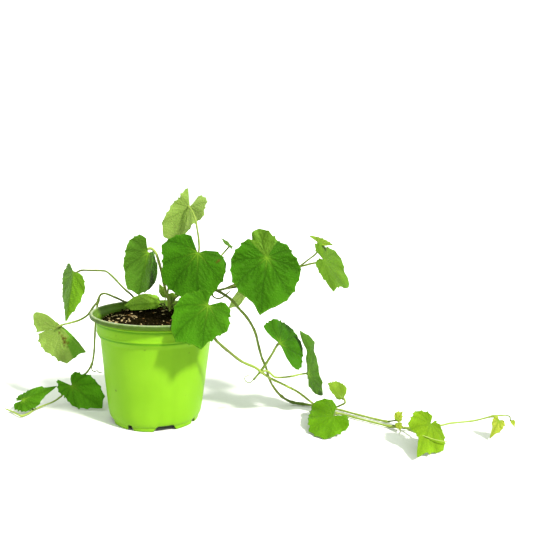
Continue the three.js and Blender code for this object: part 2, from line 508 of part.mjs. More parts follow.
const group = new THREE.Group();
group.add(node("pot", potGeometry(), COLORS.pot, 0.4));
group.add(node("soil", soilGeometry(VINES), COLORS.soil, 0.95));
for (const vine of VINES) group.add(node(vine.name, vineGeometry(vine), COLORS[vine.color], 0.6));
for (const leaf of LEAVES) group.add(node(leaf.name, bladeGeometry(leaf), COLORS[leaf.color], 0.55));

const footprint = new THREE.Box3().setFromObject(group);
const center = footprint.getCenter(new THREE.Vector3());
group.position.set(-center.x, -center.y, -footprint.min.z);

export default group;
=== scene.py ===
"""Potted cucamelon vine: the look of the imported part, in soft studio light."""
import random
from cmath import phase, rect
from math import cos, exp, hypot, pi, radians, sin, sqrt

import bpy
import bmesh
import numpy as np
from mathutils import Matrix, Vector, noise


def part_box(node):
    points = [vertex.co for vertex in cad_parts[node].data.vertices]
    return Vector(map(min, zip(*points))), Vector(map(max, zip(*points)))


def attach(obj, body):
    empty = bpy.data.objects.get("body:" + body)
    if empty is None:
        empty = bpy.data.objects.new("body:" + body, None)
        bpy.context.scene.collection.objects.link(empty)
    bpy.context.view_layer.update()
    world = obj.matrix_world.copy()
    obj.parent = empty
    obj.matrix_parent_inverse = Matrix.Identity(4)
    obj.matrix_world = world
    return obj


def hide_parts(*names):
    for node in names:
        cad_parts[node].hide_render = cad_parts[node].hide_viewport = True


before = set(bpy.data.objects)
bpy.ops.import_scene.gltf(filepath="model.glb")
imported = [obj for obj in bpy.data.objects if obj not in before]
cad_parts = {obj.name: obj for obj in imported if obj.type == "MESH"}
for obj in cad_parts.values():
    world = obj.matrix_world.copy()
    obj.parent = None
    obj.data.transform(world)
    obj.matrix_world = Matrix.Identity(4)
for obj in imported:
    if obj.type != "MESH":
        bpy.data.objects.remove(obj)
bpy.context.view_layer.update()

MM = 0.001
ROOT = "root"

# The camera, in millimetres from the pot's axis at the ground, and its view in degrees
CAMERA_AT = (96, -506, 203)
CAMERA_DOWN = 7.15
CAMERA_ROLL = 2.0
CAMERA_LENS = 39.17
CAMERA_SENSOR = 36

pot_low, pot_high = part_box("pot")
POT_AXIS = np.array([(pot_low[0] + pot_high[0]) / 2, (pot_low[1] + pot_high[1]) / 2, pot_low[2]])


def place(points):
    """Points in millimetres from the pot's axis, as metres in the frame."""
    return np.asarray(points, float) * MM + POT_AXIS


def linear(color):
    """An sRGB colour of 0 to 255 as linear light."""
    c = np.asarray(color, float) / 255
    return np.where(c <= 0.04045, c / 12.92, ((c + 0.055) / 1.055) ** 2.4)


def rgba(*color):
    """An sRGB colour of 0 to 255 as a shader takes it."""
    return tuple(linear(color)) + (1.0,)


def smoothstep(x, low, high):
    """A smooth rise from 0 at low to 1 at high."""
    t = np.clip((x - low) / (high - low), 0, 1)
    return t * t * (3 - 2 * t)


# Materials


class Nodes:
    """A material's node tree, with short calls for the nodes that are used here."""

    def __init__(self, name):
        self.material = bpy.data.materials.new(name)
        self.material.use_nodes = True
        self.tree = self.material.node_tree
        self.shader = self.tree.nodes["Principled BSDF"]

    def fill(self, socket, value):
        if hasattr(value, "is_output"):
            self.tree.links.new(value, socket)
        else:
            socket.default_value = value

    def add(self, kind, output, inputs=(), **settings):
        """The output of a new node, with its settings and with values or links in its inputs."""
        node = self.tree.nodes.new(kind)
        for key, value in settings.items():
            setattr(node, key, value)
        for key, value in dict(inputs).items():
            self.fill(node.inputs[key], value)
        return node.outputs[output]

    def attribute(self, name, output="Fac"):
        return self.add("ShaderNodeAttribute", output, attribute_name=name)

    def coordinates(self, output="Object"):
        return self.add("ShaderNodeTexCoord", output)

    def noise(self, vector, scale, detail=3.0, roughness=0.55):
        inputs = {"Vector": vector, "Scale": scale, "Detail": detail, "Roughness": roughness}
        return self.add("ShaderNodeTexNoise", "Fac", inputs)

    def cells(self, vector, scale, feature="DISTANCE_TO_EDGE"):
        inputs = {"Vector": vector, "Scale": scale}
        return self.add("ShaderNodeTexVoronoi", "Distance", inputs, feature=feature)

    def ramp(self, value, low, high, start=0.0, end=1.0):
        inputs = {"Value": value, "From Min": low, "From Max": high, "To Min": start, "To Max": end}
        return self.add("ShaderNodeMapRange", "Result", inputs, clamp=True)

    def math(self, operation, a, b):
        return self.add("ShaderNodeMath", 0, {0: a, 1: b}, operation=operation)

    def product(self, value, *factors):
        for factor in factors:
            value = self.math("MULTIPLY", value, factor)
        return value

    def mix(self, factor, a, b, blend="MIX"):
        inputs = {"Factor": factor, 6: a, 7: b}
        return self.add("ShaderNodeMix", 2, inputs, data_type="RGBA", blend_type=blend)

    def times(self, color, *factors):
        """The colour with each channel multiplied by its factor."""
        return self.mix(1.0, color, (*factors, 1), "MULTIPLY")

    def bump(self, height, strength, distance, below=None):
        inputs = {"Height": height, "Strength": strength, "Distance": distance}
        if below is not None:
            inputs["Normal"] = below
        return self.add("ShaderNodeBump", "Normal", inputs)

    def finish(self, color, roughness, normal, gloss, subsurface=(), **constants):
        """The finished material. subsurface gives its weight, scale in metres and radii."""
        inputs = {"Base Color": color, "Roughness": roughness, "Normal": normal, "Specular IOR Level": gloss}
        inputs.update(zip(("Subsurface Weight", "Subsurface Scale", "Subsurface Radius"), subsurface))
        for key, value in {**inputs, **constants}.items():
            self.fill(self.shader.inputs[key], value)
        return self.material


VEIN_UPPER = rgba(96, 134, 30)
VEIN_UNDER = rgba(126, 150, 70)
STEM_DARK = rgba(78, 102, 32)
STEM_BROWN = rgba(70, 80, 36)
STEM_PALE = rgba(126, 146, 62)
STUBBLE = rgba(150, 160, 96)
POT_GREEN = rgba(103, 149, 20)
POT_GREEN_LIGHT = rgba(111, 157, 26)
POT_GREEN_DEEP = rgba(92, 138, 16)
# Colours of the rim, partly stain and partly painted shade, of the pale dust with a painted highlight on the
# lip's top, and of mud, which also paints shade on the underside
RIM_DARK = rgba(40, 60, 12)
RIM_LIGHT = rgba(58, 78, 26)
DUST_AND_SHEEN = rgba(140, 150, 118)
MUD_AND_SHADE = rgba(60, 58, 26)
SPECK = rgba(40, 44, 14)
PEAT_DARK = rgba(6, 5, 1)
PEAT = rgba(24, 20, 7)
FIBRE = rgba(50, 42, 18)
PALE_GRAIN = rgba(70, 60, 36)
FLOOR_COLOR = (213, 214, 210)


def leaf_material(name, vein_color, light_veins, creases, relief, roughness):
    """A leaf's face: its own tint, pale veins near the petiole, painted shade along the vein creases and a
    fine net between.
    """
    m = Nodes(name)
    flat = m.coordinates("UV")
    wide = m.noise(m.coordinates(), 42, 3)
    fine = m.noise(flat, 150, 4, 0.65)
    net = m.cells(flat, 42)
    small_net = m.cells(flat, 105)
    tint = m.attribute("tint", "Color")
    vein = m.attribute("vein")
    deep = m.times(tint, 0.62, 0.74, 0.45)
    clouded = m.mix(m.ramp(wide, 0.35, 0.68, 0.0, 0.55), tint, deep)
    pale = m.times(clouded, 1.25, 1.18, 1.0)
    speckled = m.mix(m.ramp(fine, 0.4, 0.7, 0.0, 0.3), clouded, pale)
    netted = m.mix(m.ramp(net, 0.0, 0.1, 0.25, 0.0), speckled, deep)
    # Painted shade along the veins, where they lie in creases. The underside takes it more weakly.
    creased = m.mix(m.product(vein, creases), netted, m.times(netted, 0.42, 0.5, 0.3))
    glow = m.product(m.math("POWER", vein, 3.0), m.attribute("glow"), light_veins)
    color = m.mix(glow, creased, vein_color)
    grain = m.bump(fine, 0.12, 0.0002)
    cells = m.bump(m.ramp(small_net, 0.0, 0.3), 0.3, 0.0002, grain)
    puffs = m.bump(m.ramp(net, 0.0, 0.35), relief, 0.0006, cells)
    normal = m.bump(vein, -relief, 0.0006, puffs)
    return m.finish(color, m.ramp(fine, 0.2, 0.8, roughness - 0.06, roughness + 0.1), normal, 0.06,
                    (0.1, 0.0012, (0.5, 1.0, 0.15)), **{"Specular Tint": (0.7, 1.0, 0.3, 1)})


def stem_material():
    """A green stem with pale lengthwise streaks, darker stretches and fine stubble."""
    m = Nodes("stem_green")
    space = m.coordinates()
    stretches = m.noise(space, 28, 2)
    specks = m.noise(space, 900, 4, 0.7)
    streaks = m.attribute("streak")
    dark = m.mix(m.ramp(stretches, 0.35, 0.65), STEM_DARK, STEM_BROWN)
    # Paleness along the stems: partly their own colour, partly painted light on stretches in shade.
    base = m.mix(m.attribute("pale"), dark, STEM_PALE)
    streaked = m.mix(m.ramp(streaks, 0.2, 1.0, 0.0, 0.25), base, m.times(base, 1.5, 1.4, 1.5))
    color = m.mix(m.ramp(specks, 0.55, 0.75, 0.0, 0.25), streaked, STUBBLE)
    normal = m.bump(specks, 0.5, 0.0003)
    return m.finish(color, m.ramp(specks, 0.2, 0.8, 0.42, 0.62), normal, 0.15,
                    (0.12, 0.001, (0.6, 1.0, 0.2)))


def pot_material():
    """Thin lime-green plastic: satin, streaked by moulding and specked with soil. Its rim is dark green,
    partly stain and partly painted shade; the underside has painted shade, the lip's top has pale dust with a
    painted highlight, and the grooves have painted shade.
    """
    m = Nodes("pot_plastic")
    space = m.coordinates()
    stretched = m.add("ShaderNodeMapping", "Vector", {"Vector": space, "Scale": (1.0, 1.0, 0.08)})
    streaks = m.noise(stretched, 90, 3)
    clouds = m.noise(space, 22, 3)
    grain = m.noise(space, 1400, 2)
    scuffs = m.noise(space, 260, 6, 0.75)
    dust = m.noise(space, 130, 6, 0.75)
    green = m.mix(m.ramp(clouds, 0.3, 0.7), POT_GREEN, POT_GREEN_LIGHT)
    streaked = m.mix(m.ramp(streaks, 0.45, 0.75, 0.0, 0.25), green, POT_GREEN_DEEP)
    # The rim colour: partly stain, partly painted shade on the inner wall, the lip and the underside.
    stain_and_shade = m.mix(m.attribute("rim"), streaked, m.mix(m.ramp(dust, 0.4, 0.6), RIM_DARK, RIM_LIGHT))
    # Pale dust on the lip's top, which also paints a highlight there.
    dusted_and_sheened = m.product(m.attribute("edge"), m.ramp(dust, 0.3, 0.62, 0.35, 1.0))
    # Mud near the rim and the foot, and painted shade on the underside.
    soiled_and_shaded = m.product(m.ramp(dust, 0.5, 0.8, 0.0, 0.5), m.attribute("grime"))
    dirt_and_shade = m.mix(soiled_and_shaded, m.mix(dusted_and_sheened, stain_and_shade, DUST_AND_SHEEN), MUD_AND_SHADE)
    # Painted shade in the grooves under the lip.
    grooves_shaded = m.mix(m.attribute("crease"), dirt_and_shade, m.times(dirt_and_shade, 0.5, 0.7, 0.35))
    near_specks = m.ramp(m.cells(space, 75, "F1"), 0.05, 0.11, 1.0, 0.0)
    color = m.mix(m.product(near_specks, m.ramp(dust, 0.5, 0.6), 0.8), grooves_shaded, SPECK)
    normal = m.bump(scuffs, 0.06, 0.0003, m.bump(grain, 0.08, 0.0001))
    return m.finish(color, m.ramp(scuffs, 0.3, 0.75, 0.34, 0.5), normal, 0.08,
                    (0.2, 0.002, (0.5, 1.0, 0.1)))


def soil_material():
    """Moist peat: nearly black, with brown fibres and a few pale grains."""
    m = Nodes("soil_peat")
    space = m.coordinates()
    lumps = m.noise(space, 180, 6, 0.7)
    grit = m.noise(space, 900, 4, 0.7)
    flecks = m.cells(space, 420, "F1")
    base = m.mix(m.ramp(lumps, 0.35, 0.65), PEAT_DARK, PEAT)
    fibres = m.mix(m.ramp(grit, 0.55, 0.75, 0.0, 0.6), base, FIBRE)
    color = m.mix(m.ramp(flecks, 0.1, 0.16, 0.45, 0.0), fibres, PALE_GRAIN)
    normal = m.bump(grit, 0.8, 0.0008, m.bump(lumps, 1.0, 0.002))
    return m.finish(color, m.ramp(grit, 0.3, 0.7, 0.7, 0.95), normal, 0.0)


def grain_material(name, pale, dark, scale, roughness):
    """Small grains in the soil: perlite, bark or crumbs."""
    m = Nodes(name)
    space = m.coordinates()
    pores = m.noise(space, scale, 5, 0.7)
    color = m.mix(m.ramp(pores, 0.35, 0.65), rgba(*dark), rgba(*pale))
    normal = m.bump(pores, 0.7, 0.0005)
    return m.finish(color, m.ramp(pores, 0.3, 0.7, roughness - 0.1, roughness + 0.05), normal, 0.02)


def floor_material():
    """Plain pale paper."""
    m = Nodes("floor_paper")
    space = m.coordinates()
    fine = m.noise(space, 300, 3)
    lighter = rgba(*(c * 1.01 for c in FLOOR_COLOR))
    color = m.mix(m.ramp(fine, 0.4, 0.6), rgba(*FLOOR_COLOR), lighter)
    return m.finish(color, 0.9, m.bump(fine, 0.02, 0.0004), 0.1)


UPPER = leaf_material("leaf_upper", VEIN_UPPER, 0.6, 0.75, 0.5, 0.5)
UNDER = leaf_material("leaf_under", VEIN_UNDER, 0.6, 0.45, 0.35, 0.6)
STEM = stem_material()
POT = pot_material()
SOIL = soil_material()
PERLITE = grain_material("perlite", (176, 160, 120), (112, 98, 60), 900, 0.85)
BARK = grain_material("bark", (112, 84, 46), (48, 34, 16), 500, 0.8)
CRUMBS = grain_material("peat_crumbs", (36, 29, 13), (8, 6, 2), 600, 0.9)
FLOOR = floor_material()


# Meshes


def add_object(name, data):
    obj = bpy.data.objects.new(name, data)
    bpy.context.scene.collection.objects.link(obj)
    return obj


def build_mesh(name, points, faces, materials, smooth=True, uv=None, face_slots=None, **attributes):
    """A new object. Its points are in millimetres from the pot's axis."""
    mesh = bpy.data.meshes.new(name)
    mesh.from_pydata(place(points).tolist(), [], [list(map(int, f)) for f in faces])
    for material in materials:
        mesh.materials.append(material)
    mesh.polygons.foreach_set("use_smooth", [smooth] * len(mesh.polygons))
    if face_slots is not None:
        mesh.polygons.foreach_set("material_index", face_slots)
    if uv is not None:
        corners = np.empty(len(mesh.loops), dtype=np.int32)
        mesh.loops.foreach_get("vertex_index", corners)
        mesh.uv_layers.new(name="flat").data.foreach_set("uv", np.asarray(uv)[corners].ravel())
    for key, values in attributes.items():
        values = np.asarray(values, dtype=np.float32)
        kind = "FLOAT_COLOR" if values.ndim == 2 else "FLOAT"
        layer = mesh.attributes.new(key, kind, "POINT")
        layer.data.foreach_set("color" if values.ndim == 2 else "value", values.ravel())
    mesh.validate()
    mesh.update()
    return add_object(name, mesh)


def part_piece(obj, slot, *nodes):
    """The object rides on the part and stands for its CAD nodes, which it hides. Its slot is not used."""
    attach(obj, ROOT)
    if nodes:
        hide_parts(*nodes)
    return obj


# Leaves
# Each blade is drawn in its own plane, in polar form round the petiole's end, in millimetres: 0 degrees
# points at the tip, and positive angles are the leaf's left. Each leaf has its name and colours, that end,
# the tip from there, the way its upper face looks, the degrees its left and right side spread, and the
# radii at equal steps of the left and then of the right side, after the tip's own.

BLADE = 0.36
TOOTH = 2.3
UV_SIZE = 100

# What a leaf has unless its kind or its row says otherwise
LEAF = dict(
    young=False,
    seed=0,  # turns its waves, teeth, veins and tints
    points=36, tooth=1,  # small teeth, two to a large one, and their depth as a share of TOOTH
    cells=230, rings=38,  # the grid, round the margin and out from the petiole
    fold=(0, 0),  # how steeply the left and right side rise from the midrib
    bend=0, sweep=0,  # how far the tip hangs and curves to the left, as shares of its length
    wave=1,  # height of the waves at the margin
    tuck=0,  # drop of the lobes beside the petiole
    pinch=None,  # a waist: where along the leaf, width, middle across the leaf, strength
    seam=0,  # degrees by which the slit behind the petiole closes near it
    relief=0.5,  # how far the blade puffs up between its veins
    veins=1, glow=0.28,  # strength of the veins, and the reach within which they are pale
    # Some patches are painted light that lifts shaded parts of a leaf.
    patches=(),  # other colours: from and to which angle, from which reach, strength, colour
    spots=(),  # withered spots: along and across the leaf, radius, strength
)
SMALL = dict(points=18, cells=96, rings=16, tooth=0.6, wave=0.4, relief=0.15)
MIDDLE = dict(points=28, cells=130, rings=22, tooth=0.8, wave=0.8, relief=0.25)

# Colours that leaves share: upper face, underside
DEEP = ((44, 88, 8), (92, 118, 50))
MID = ((50, 96, 10), (92, 120, 48))
PALE = ((66, 104, 16), (96, 120, 46))
GREYED = ((54, 88, 20), (96, 118, 60))
NODE = ((134, 148, 48), (138, 150, 60))
BUD = ((144, 154, 54), (144, 154, 64))
SEED = ((136, 172, 66), (136, 172, 66))


LEAVES = []


def blade(name, colors, at, tip, face, spread, left, right=None, kind=LEAF, **values):
    """Add a leaf, filled up from its kind and from what every leaf has."""
    LEAVES.append({**LEAF, **kind, "name": name, "colors": colors, "at": at, "tip": tip, "face": face,
                   "spread": spread, "left": left, "right": right or left, **values})


# leaf_crown: a patch lightens its right lobe, painted light where its fold turns that lobe away from the
# lamp.
blade("leaf_crown", ((66, 104, 16), (107, 131, 58)), (24, 26, 188.5), (-12.5, -5, -31.5),
      (0.29, 0.89, -0.34), (150, 160), (36, 28, 20.5, 17, 14.5, 13.5, 15.5, 18.5),
      (26, 20.5, 19, 21, 20, 20.5, 17.5, 14.5), fold=(-0.3, -0.4), seed=1,
      patches=[(195, 345, 0.0, 0.65, (136, 158, 84))])
# leaf_upper_left: a patch lightens its right part, painted light over the shadow that leaf_center casts
# there.
blade("leaf_upper_left", GREYED, (-8, -2, 148), (-6, -12, -35), (0.7, -0.7, 0.12), (120, 155),
      (35, 33.5, 31.5, 28.5, 22, 15.5, 12, 10.5, 9), (37, 27.5, 24, 22, 20.5, 19.5, 19, 18, 13),
      fold=(-0.6, -0.2), wave=0.8, tooth=0.55, seed=2, patches=[(44, 130, 0.4, 0.7, (84, 138, 28))])
blade("leaf_center", DEEP, (36, -6, 150), (2, -18, -36), (-0.04, -0.9, 0.44), (110, 160),
      (40, 35.5, 33.5, 29.5, 26.5, 22.5, 17.5, 7), (41, 40, 39, 33.5, 32, 34, 31, 25, 17),
      fold=(-0.15, -0.15), bend=0.12, wave=1.4, points=40, cells=280, rings=48, tooth=0.85, seed=3,
      spots=[(7, 18, 1.5, 0.8), (8.5, 16.4, 1.0, 0.5)])
blade("leaf_front", MID, (50, -46, 112), (-3, -16, -32), (0.19, -0.89, 0.42), (115, 185),
      (29.5, 26.5, 26, 24, 21, 20, 16.5, 12), (35, 39, 35, 30.5, 28, 24.5, 21, 18, 16, 14, 12, 10),
      fold=(-0.2, -0.2), wave=1.2, points=38, cells=260, rings=44, relief=0.7, seed=4)
blade("leaf_right_large", DEEP, (96, -10, 148), (-4, -14, -47), (0.25, -0.93, 0.26), (231, 144),
      (42, 39.5, 35.5, 32.5, 25.5, 23.5, 20, 22.5, 26, 27.5, 17), (39, 38.5, 36, 31.5, 29.5, 26.5, 23.5, 17),
      fold=(-0.1, -0.1), wave=1.5, tuck=5, points=46, cells=300, rings=52, relief=1.1, glow=0.16, seed=5,
      patches=[(159, 232, 0.1, 0.75, (72, 100, 26)), (154, 160, 0.05, 0.5, (96, 132, 44)),
      (203, 211, 0.05, 0.5, (96, 132, 44))])
blade("leaf_far_right", ((72, 104, 22), (110, 134, 60)), (146, 0, 147), (8, -16, -25), (0.57, -0.59, 0.57),
      (210, 110), (28, 29.5, 34, 36.5, 32, 30, 31, 29, 24, 18.5, 17, 17.5, 17, 11.5),
      (20.5, 16, 13, 11, 7, 5.5), fold=(-0.2, -0.2), wave=0.8, veins=0.7, seed=6)
blade("leaf_far_right_upper", ((102, 128, 32), (112, 138, 50)), (141.5, 13, 161.5), (13, -6, -2),
      (0.2, -0.5, 0.9), (150, 90), (11, 9, 8.5, 9.5, 12.5, 13.5), (10, 7, 5, 4, 4, 3), seed=7, young=True,
      kind=SMALL)
blade("leaf_left_folded", ((88, 128, 24), (110, 134, 50)), (-84, 30, 124), (-2.5, -12, -45),
      (-0.58, -0.78, 0.23), (85, 135), (38, 32, 25, 22, 19, 16, 12.5, 7.5),
      (33, 29, 24, 21, 20.5, 20, 18, 12.5), fold=(-0.3, -0.2), wave=0.7, seed=8,
      patches=[(180, 359.9, 0.0, 0.6, (80, 114, 54))])
blade("leaf_left_low", ((66, 104, 16), (113, 136, 62)), (-95, 22, 73), (30, -17, -18), (0.35, 0.9, -0.26),
      (130, 226), (35, 35.5, 31.5, 27, 25.5, 25, 25.5, 24), (9, 5.5, 4, 3, 3, 3, 3, 4, 9, 32, 30, 26),
      fold=(-0.1, -0.1), wave=0.8, seam=3.5, points=44, veins=0.35, seed=9,
      patches=[(330, 359.9, 0.4, 0.8, (66, 116, 18)), (0, 20, 0.4, 0.8, (66, 116, 18))],
      spots=[(4, 3.5, 1.3, 0.7), (8, 4, 1.4, 0.6), (11, 5, 1.8, 0.9), (14.5, 6.5, 2.0, 0.95),
      (13, 3.4, 1.3, 0.8), (18, 5, 1.5, 0.7), (16.5, 9, 1.1, 0.6), (20, 8, 1.0, 0.5)])
# leaf_left_ground: its colours are lighter, painted light against the pot's shadow that falls on it.
blade("leaf_left_ground", ((70, 124, 18), (96, 124, 46)), (-80, 12, 20.5), (30, -8, -17.4),
      (-0.06, -0.88, 0.48), (145, 168), (32, 25.5, 20, 18, 14.5, 13.5, 12.5, 8.5),
      (26, 20.5, 15, 13, 12.5, 14, 15, 15.5), fold=(-0.2, -0.3), cells=160, rings=28, seed=10)
blade("leaf_left_tip", ((60, 104, 14), (96, 124, 46)), (-118, -6, 12), (26, 12, 10), (0.14, -0.7, 0.7),
      (160, 180), (19.5, 13, 11, 9, 7.5, 8, 8, 5.5), (17, 14.5, 12, 11, 10.5, 10.5, 10, 7),
      fold=(-0.5, -0.3), wave=0.8, cells=150, rings=24, seed=11)
blade("leaf_on_soil", ((118, 156, 50), (120, 150, 50)), (-3, 30, 97.5), (-32, -5, -2.5), (0.1, -0.8, 0.6),
      (60, 90), (28, 17, 11, 8.5, 7, 6), (29, 23, 17, 13, 10, 6.5), fold=(-0.2, -0.25), seed=12, kind=MIDDLE)
blade("seed_leaf_left", SEED, (1.8, 29, 104), (-4.5, -4, 13), (-0.3, -0.9, 0.2), (150, 150),
      (8, 5, 3, 2, 1.6, 1.2), tooth=0, kind=SMALL)
blade("seed_leaf_right", SEED, (8.5, 24, 99.5), (1.2, -2, 10), (0.3, -0.9, 0.2), (150, 150),
      (9.5, 4.5, 2.5, 2, 1.6, 1.2), tooth=0, kind=SMALL)
blade("leaf_behind_upper", PALE, (62, 22, 154.7), (-10, -2, 8), (0.6, -0.15, 0.78), (150, 150),
      (10, 7, 5.5, 5, 4.5, 4), seed=13, kind=SMALL)
blade("leaf_behind_lower", ((146, 172, 84), (158, 184, 98)), (76, 20, 112), (-13, -8, -14), (-0.4, 0.7, 0.5),
      (150, 150), (15, 11, 8, 7, 6, 5), seed=14, kind=SMALL)
blade("leaf_right_arched", DEEP, (110, -6, 72), (19, 23, 4), (0.63, -0.6, 0.5), (125, 88),
      (29.5, 27.5, 25.5, 24, 23.5, 22.5, 20.5, 13), (31, 33, 34, 33, 33.5, 30.5, 28.5, 17),
      fold=(-0.1, -0.1), bend=0.15, seed=15)
blade("leaf_right_upright", GREYED, (137.3, 9, 41), (-1.8, 12, 36.5), (0.8, -0.55, 0.1), (150, 180),
      (17, 12, 7, 5, 4.5, 4.5, 5, 5.5, 6.5, 6), (37, 36.5, 26, 21.5, 19.5, 27, 34, 23, 17.5, 12),
      fold=(0.7, 0), wave=0.9, sweep=0.35, pinch=(20.5, 5.5, -9.5, 0.35), seed=16)
blade("leaf_right_ground", ((78, 119, 14), (104, 132, 40)), (159, -16, 11), (-22, -14, -8),
      (-0.29, -0.4, 0.85), (150, 145), (29, 28.5, 23.5, 20, 18.5, 16.5, 14.5, 12),
      (24, 21.5, 22.5, 24.5, 27, 27.5, 26, 14), fold=(-0.1, -0.1), cells=170, rings=28, veins=0.45, seed=17,
      young=True)
blade("leaf_right_small", ((84, 126, 16), (97, 123, 34)), (170, 6, 19), (-14, 6, 12), (-0.23, 0.73, -0.64),
      (80, 60), (19, 19, 16.5, 15, 13, 7), (15.5, 11.5, 8, 6, 5, 4), seed=18, young=True, kind=MIDDLE)
blade("leaf_node_upper", NODE, (217, -8, 6), (6, 4, 7), (0.2, -0.8, 0.5), (100, 100), (9, 8, 6, 4, 3, 2),
      (8, 6, 5, 4, 3, 2), seed=19, young=True, kind=SMALL)
blade("leaf_node_lower", NODE, (215.5, -16, 6.5), (2, -7, -4), (0.1, -0.5, 0.85), (120, 90),
      (6, 6, 5.5, 5, 4, 3), (6, 5, 4, 3, 3, 2), seed=20, young=True, kind=SMALL)
blade("leaf_vine_tip", ((97, 127, 18), (112, 138, 40)), (236, -46, 19), (-18, -30, -15.8),
      (0.27, -0.6, 0.75), (160, 175), (28, 23.5, 22.5, 19.5, 17.5, 14, 11, 8.5, 8),
      (21, 19.5, 19.5, 18, 16.5, 16, 14.5, 13, 10.5, 9), fold=(-0.3, -0.2), cells=160, rings=28, veins=0.6,
      seed=21, young=True)
blade("leaf_end_small", BUD, (302.5, -22, 15), (-10.5, -9, -13.5), (0.28, -0.87, 0.41), (130, 130),
      (12, 9.5, 8, 7.5, 7.5, 5.5, 3.5), (10, 8, 6.5, 6.5, 5.5, 4.5, 3.5), seed=22, young=True, kind=SMALL)
blade("leaf_end_bud", BUD, (316, -18, 13.5), (1, -3, -5), (0.3, -0.8, 0.3), (120, 120),
      (4, 3.5, 3, 2.5, 2, 1.5), wave=0.1, tooth=0.2, young=True, kind=SMALL)


# Shape of the blades
TIP_CURVE = 1.7
MIDRIB = 1.5
WAVES = 5
FRILLS = 13
FRILL_HEIGHT = 0.3
TUCKED = (2.45, 2.95)
PUFF_WIDTH = 1.9
EDGE_TAPER = 0.55
RIDGE = 0.28

# Main veins, in degrees to either side of the midrib, and the reaches at which side veins leave them
MAIN_VEINS = (43, 86, 126, 160, 205)
VEIN_END = 0.95
VEIN_STEPS = 13
SIDE_VEINS = (0.24, 0.42, 0.6, 0.77)
SIDE_STEPS = 4
VEIN_BLUR = 0.45

HEART_COLOR = (100, 134, 40)
MARGIN_COLOR = (92, 126, 36)
SPOT_COLOR = (70, 52, 16)


def leaf_axes(leaf):
    """Unit vectors along the leaf, out of its upper face and to its left."""
    along = Vector(leaf["tip"]).normalized()
    face = Vector(leaf["face"])
    face = (face - along * face.dot(along)).normalized()
    return np.array(along), np.array(face), np.array(face.cross(along))


def outline_radius(leaf, side, fraction):
    """The margin's radius before its teeth, at fractions of a side's spread."""
    radii = np.array([Vector(leaf["tip"]).length, *leaf[side]])
    steps = len(radii) - 1
    x = np.asarray(fraction) * steps
    i = np.minimum(steps - 1, np.floor(x).astype(int))
    t = x - i
    p0, p1, p2 = radii[np.maximum(0, i - 1)], radii[i], radii[i + 1]
    p3 = radii[np.minimum(steps, i + 2)]
    smooth = 0.5 * (2 * p1 + (p2 - p0) * t + (2 * p0 - 5 * p1 + 4 * p2 - p3) * t**2
                    + (3 * p1 - p0 - 3 * p2 + p3) * t**3)
    straight = p1 + (p2 - p1) * t
    pointed = p2 + (p1 - p2) * (1 - t) ** TIP_CURVE
    return np.where((i == 0) & (p1 > p2), pointed, 0.5 * (smooth + straight))


def blade_height(leaf, u, v, reach, angle):
    """How far the blade stands out of its plane at each point, before its relief."""
    length = Vector(leaf["tip"]).length
    fold_left, fold_right = leaf["fold"]
    fold = np.where(v > 0, fold_left, fold_right) * (np.hypot(v, MIDRIB) - MIDRIB)
    bend = -leaf["bend"] * u * u / length
    wave = leaf["wave"] * reach**2 * np.sin(WAVES * angle + leaf["seed"])
    tuck = -leaf["tuck"] * reach * smoothstep(np.abs(angle), *TUCKED)
    frill = FRILL_HEIGHT * leaf["wave"] * reach**4 * np.sin(FRILLS * angle + 2 * leaf["seed"])
    return fold + bend + wave + tuck + frill


def radius_at(leaf, angle):
    """The margin's radius in any direction of the leaf's plane."""
    side = "left" if angle > 0 else "right"
    spread = radians(leaf["spread"][0 if angle > 0 else 1])
    return float(outline_radius(leaf, side, min(1.0, abs(angle) / spread)))


def leaf_veins(leaf):
    """Vein segments in the leaf's plane: start and end as complex numbers, width and strength."""
    rng = random.Random(leaf["seed"])
    mains = [0.0]
    for sign, spread in zip((1, -1), map(radians, leaf["spread"])):
        for step in MAIN_VEINS:
            angle = radians(step + rng.uniform(-3, 3))
            if angle < spread - 0.05:
                mains.append(sign * angle)
    segments = []
    for base in mains:
        reaches = np.linspace(0, VEIN_END, VEIN_STEPS + 1)
        angles = base * (1 - 0.1 * reaches**1.5) + 0.02 * np.sin(9 * reaches + base)
        path = [rect(r * radius_at(leaf, a), a) for r, a in zip(reaches, angles)]
        widths = np.interp(reaches, [0, 1], [0.6, 0.35])
        segments += zip(path, path[1:], widths, 1.0 - 0.25 * reaches)
        for reach in SIDE_VEINS:
            for turn in (1, -1):
                along = (reach + rng.uniform(-0.04, 0.04)) / VEIN_END * VEIN_STEPS
                k = min(VEIN_STEPS - 1, int(along))
                point = path[k] * (1 - along + k) + path[k + 1] * (along - k)
                heading = phase(path[k + 1] - path[k]) + turn * radians(rng.uniform(40, 50))
                length = (0.42 - 0.36 * reach) * abs(path[-1]) * rng.uniform(0.8, 1.1)
                for piece in range(SIDE_STEPS):
                    end = point + rect(length / SIDE_STEPS, heading - turn * 0.14 * piece)
                    segments.append((point, end, 0.25, 0.6 - 0.12 * piece))
                    point = end
    return segments


def vein_fields(leaf, u, v):
    """How strongly each point lies on a vein, and its distance from the nearest one."""
    point = u + 1j * v
    strength = np.zeros(len(u))
    nearest = np.full(len(u), 99.0)
    for start, end, width, weight in leaf_veins(leaf):
        way = end - start
        t = np.clip(((point - start) * way.conjugate()).real / (abs(way) ** 2 + 1e-9), 0, 1)
        distance = abs(point - start - t * way)
        strength = np.maximum(strength, weight * np.exp(-((distance / (width + VEIN_BLUR)) ** 2)))
        nearest = np.minimum(nearest, distance)
    return strength, nearest


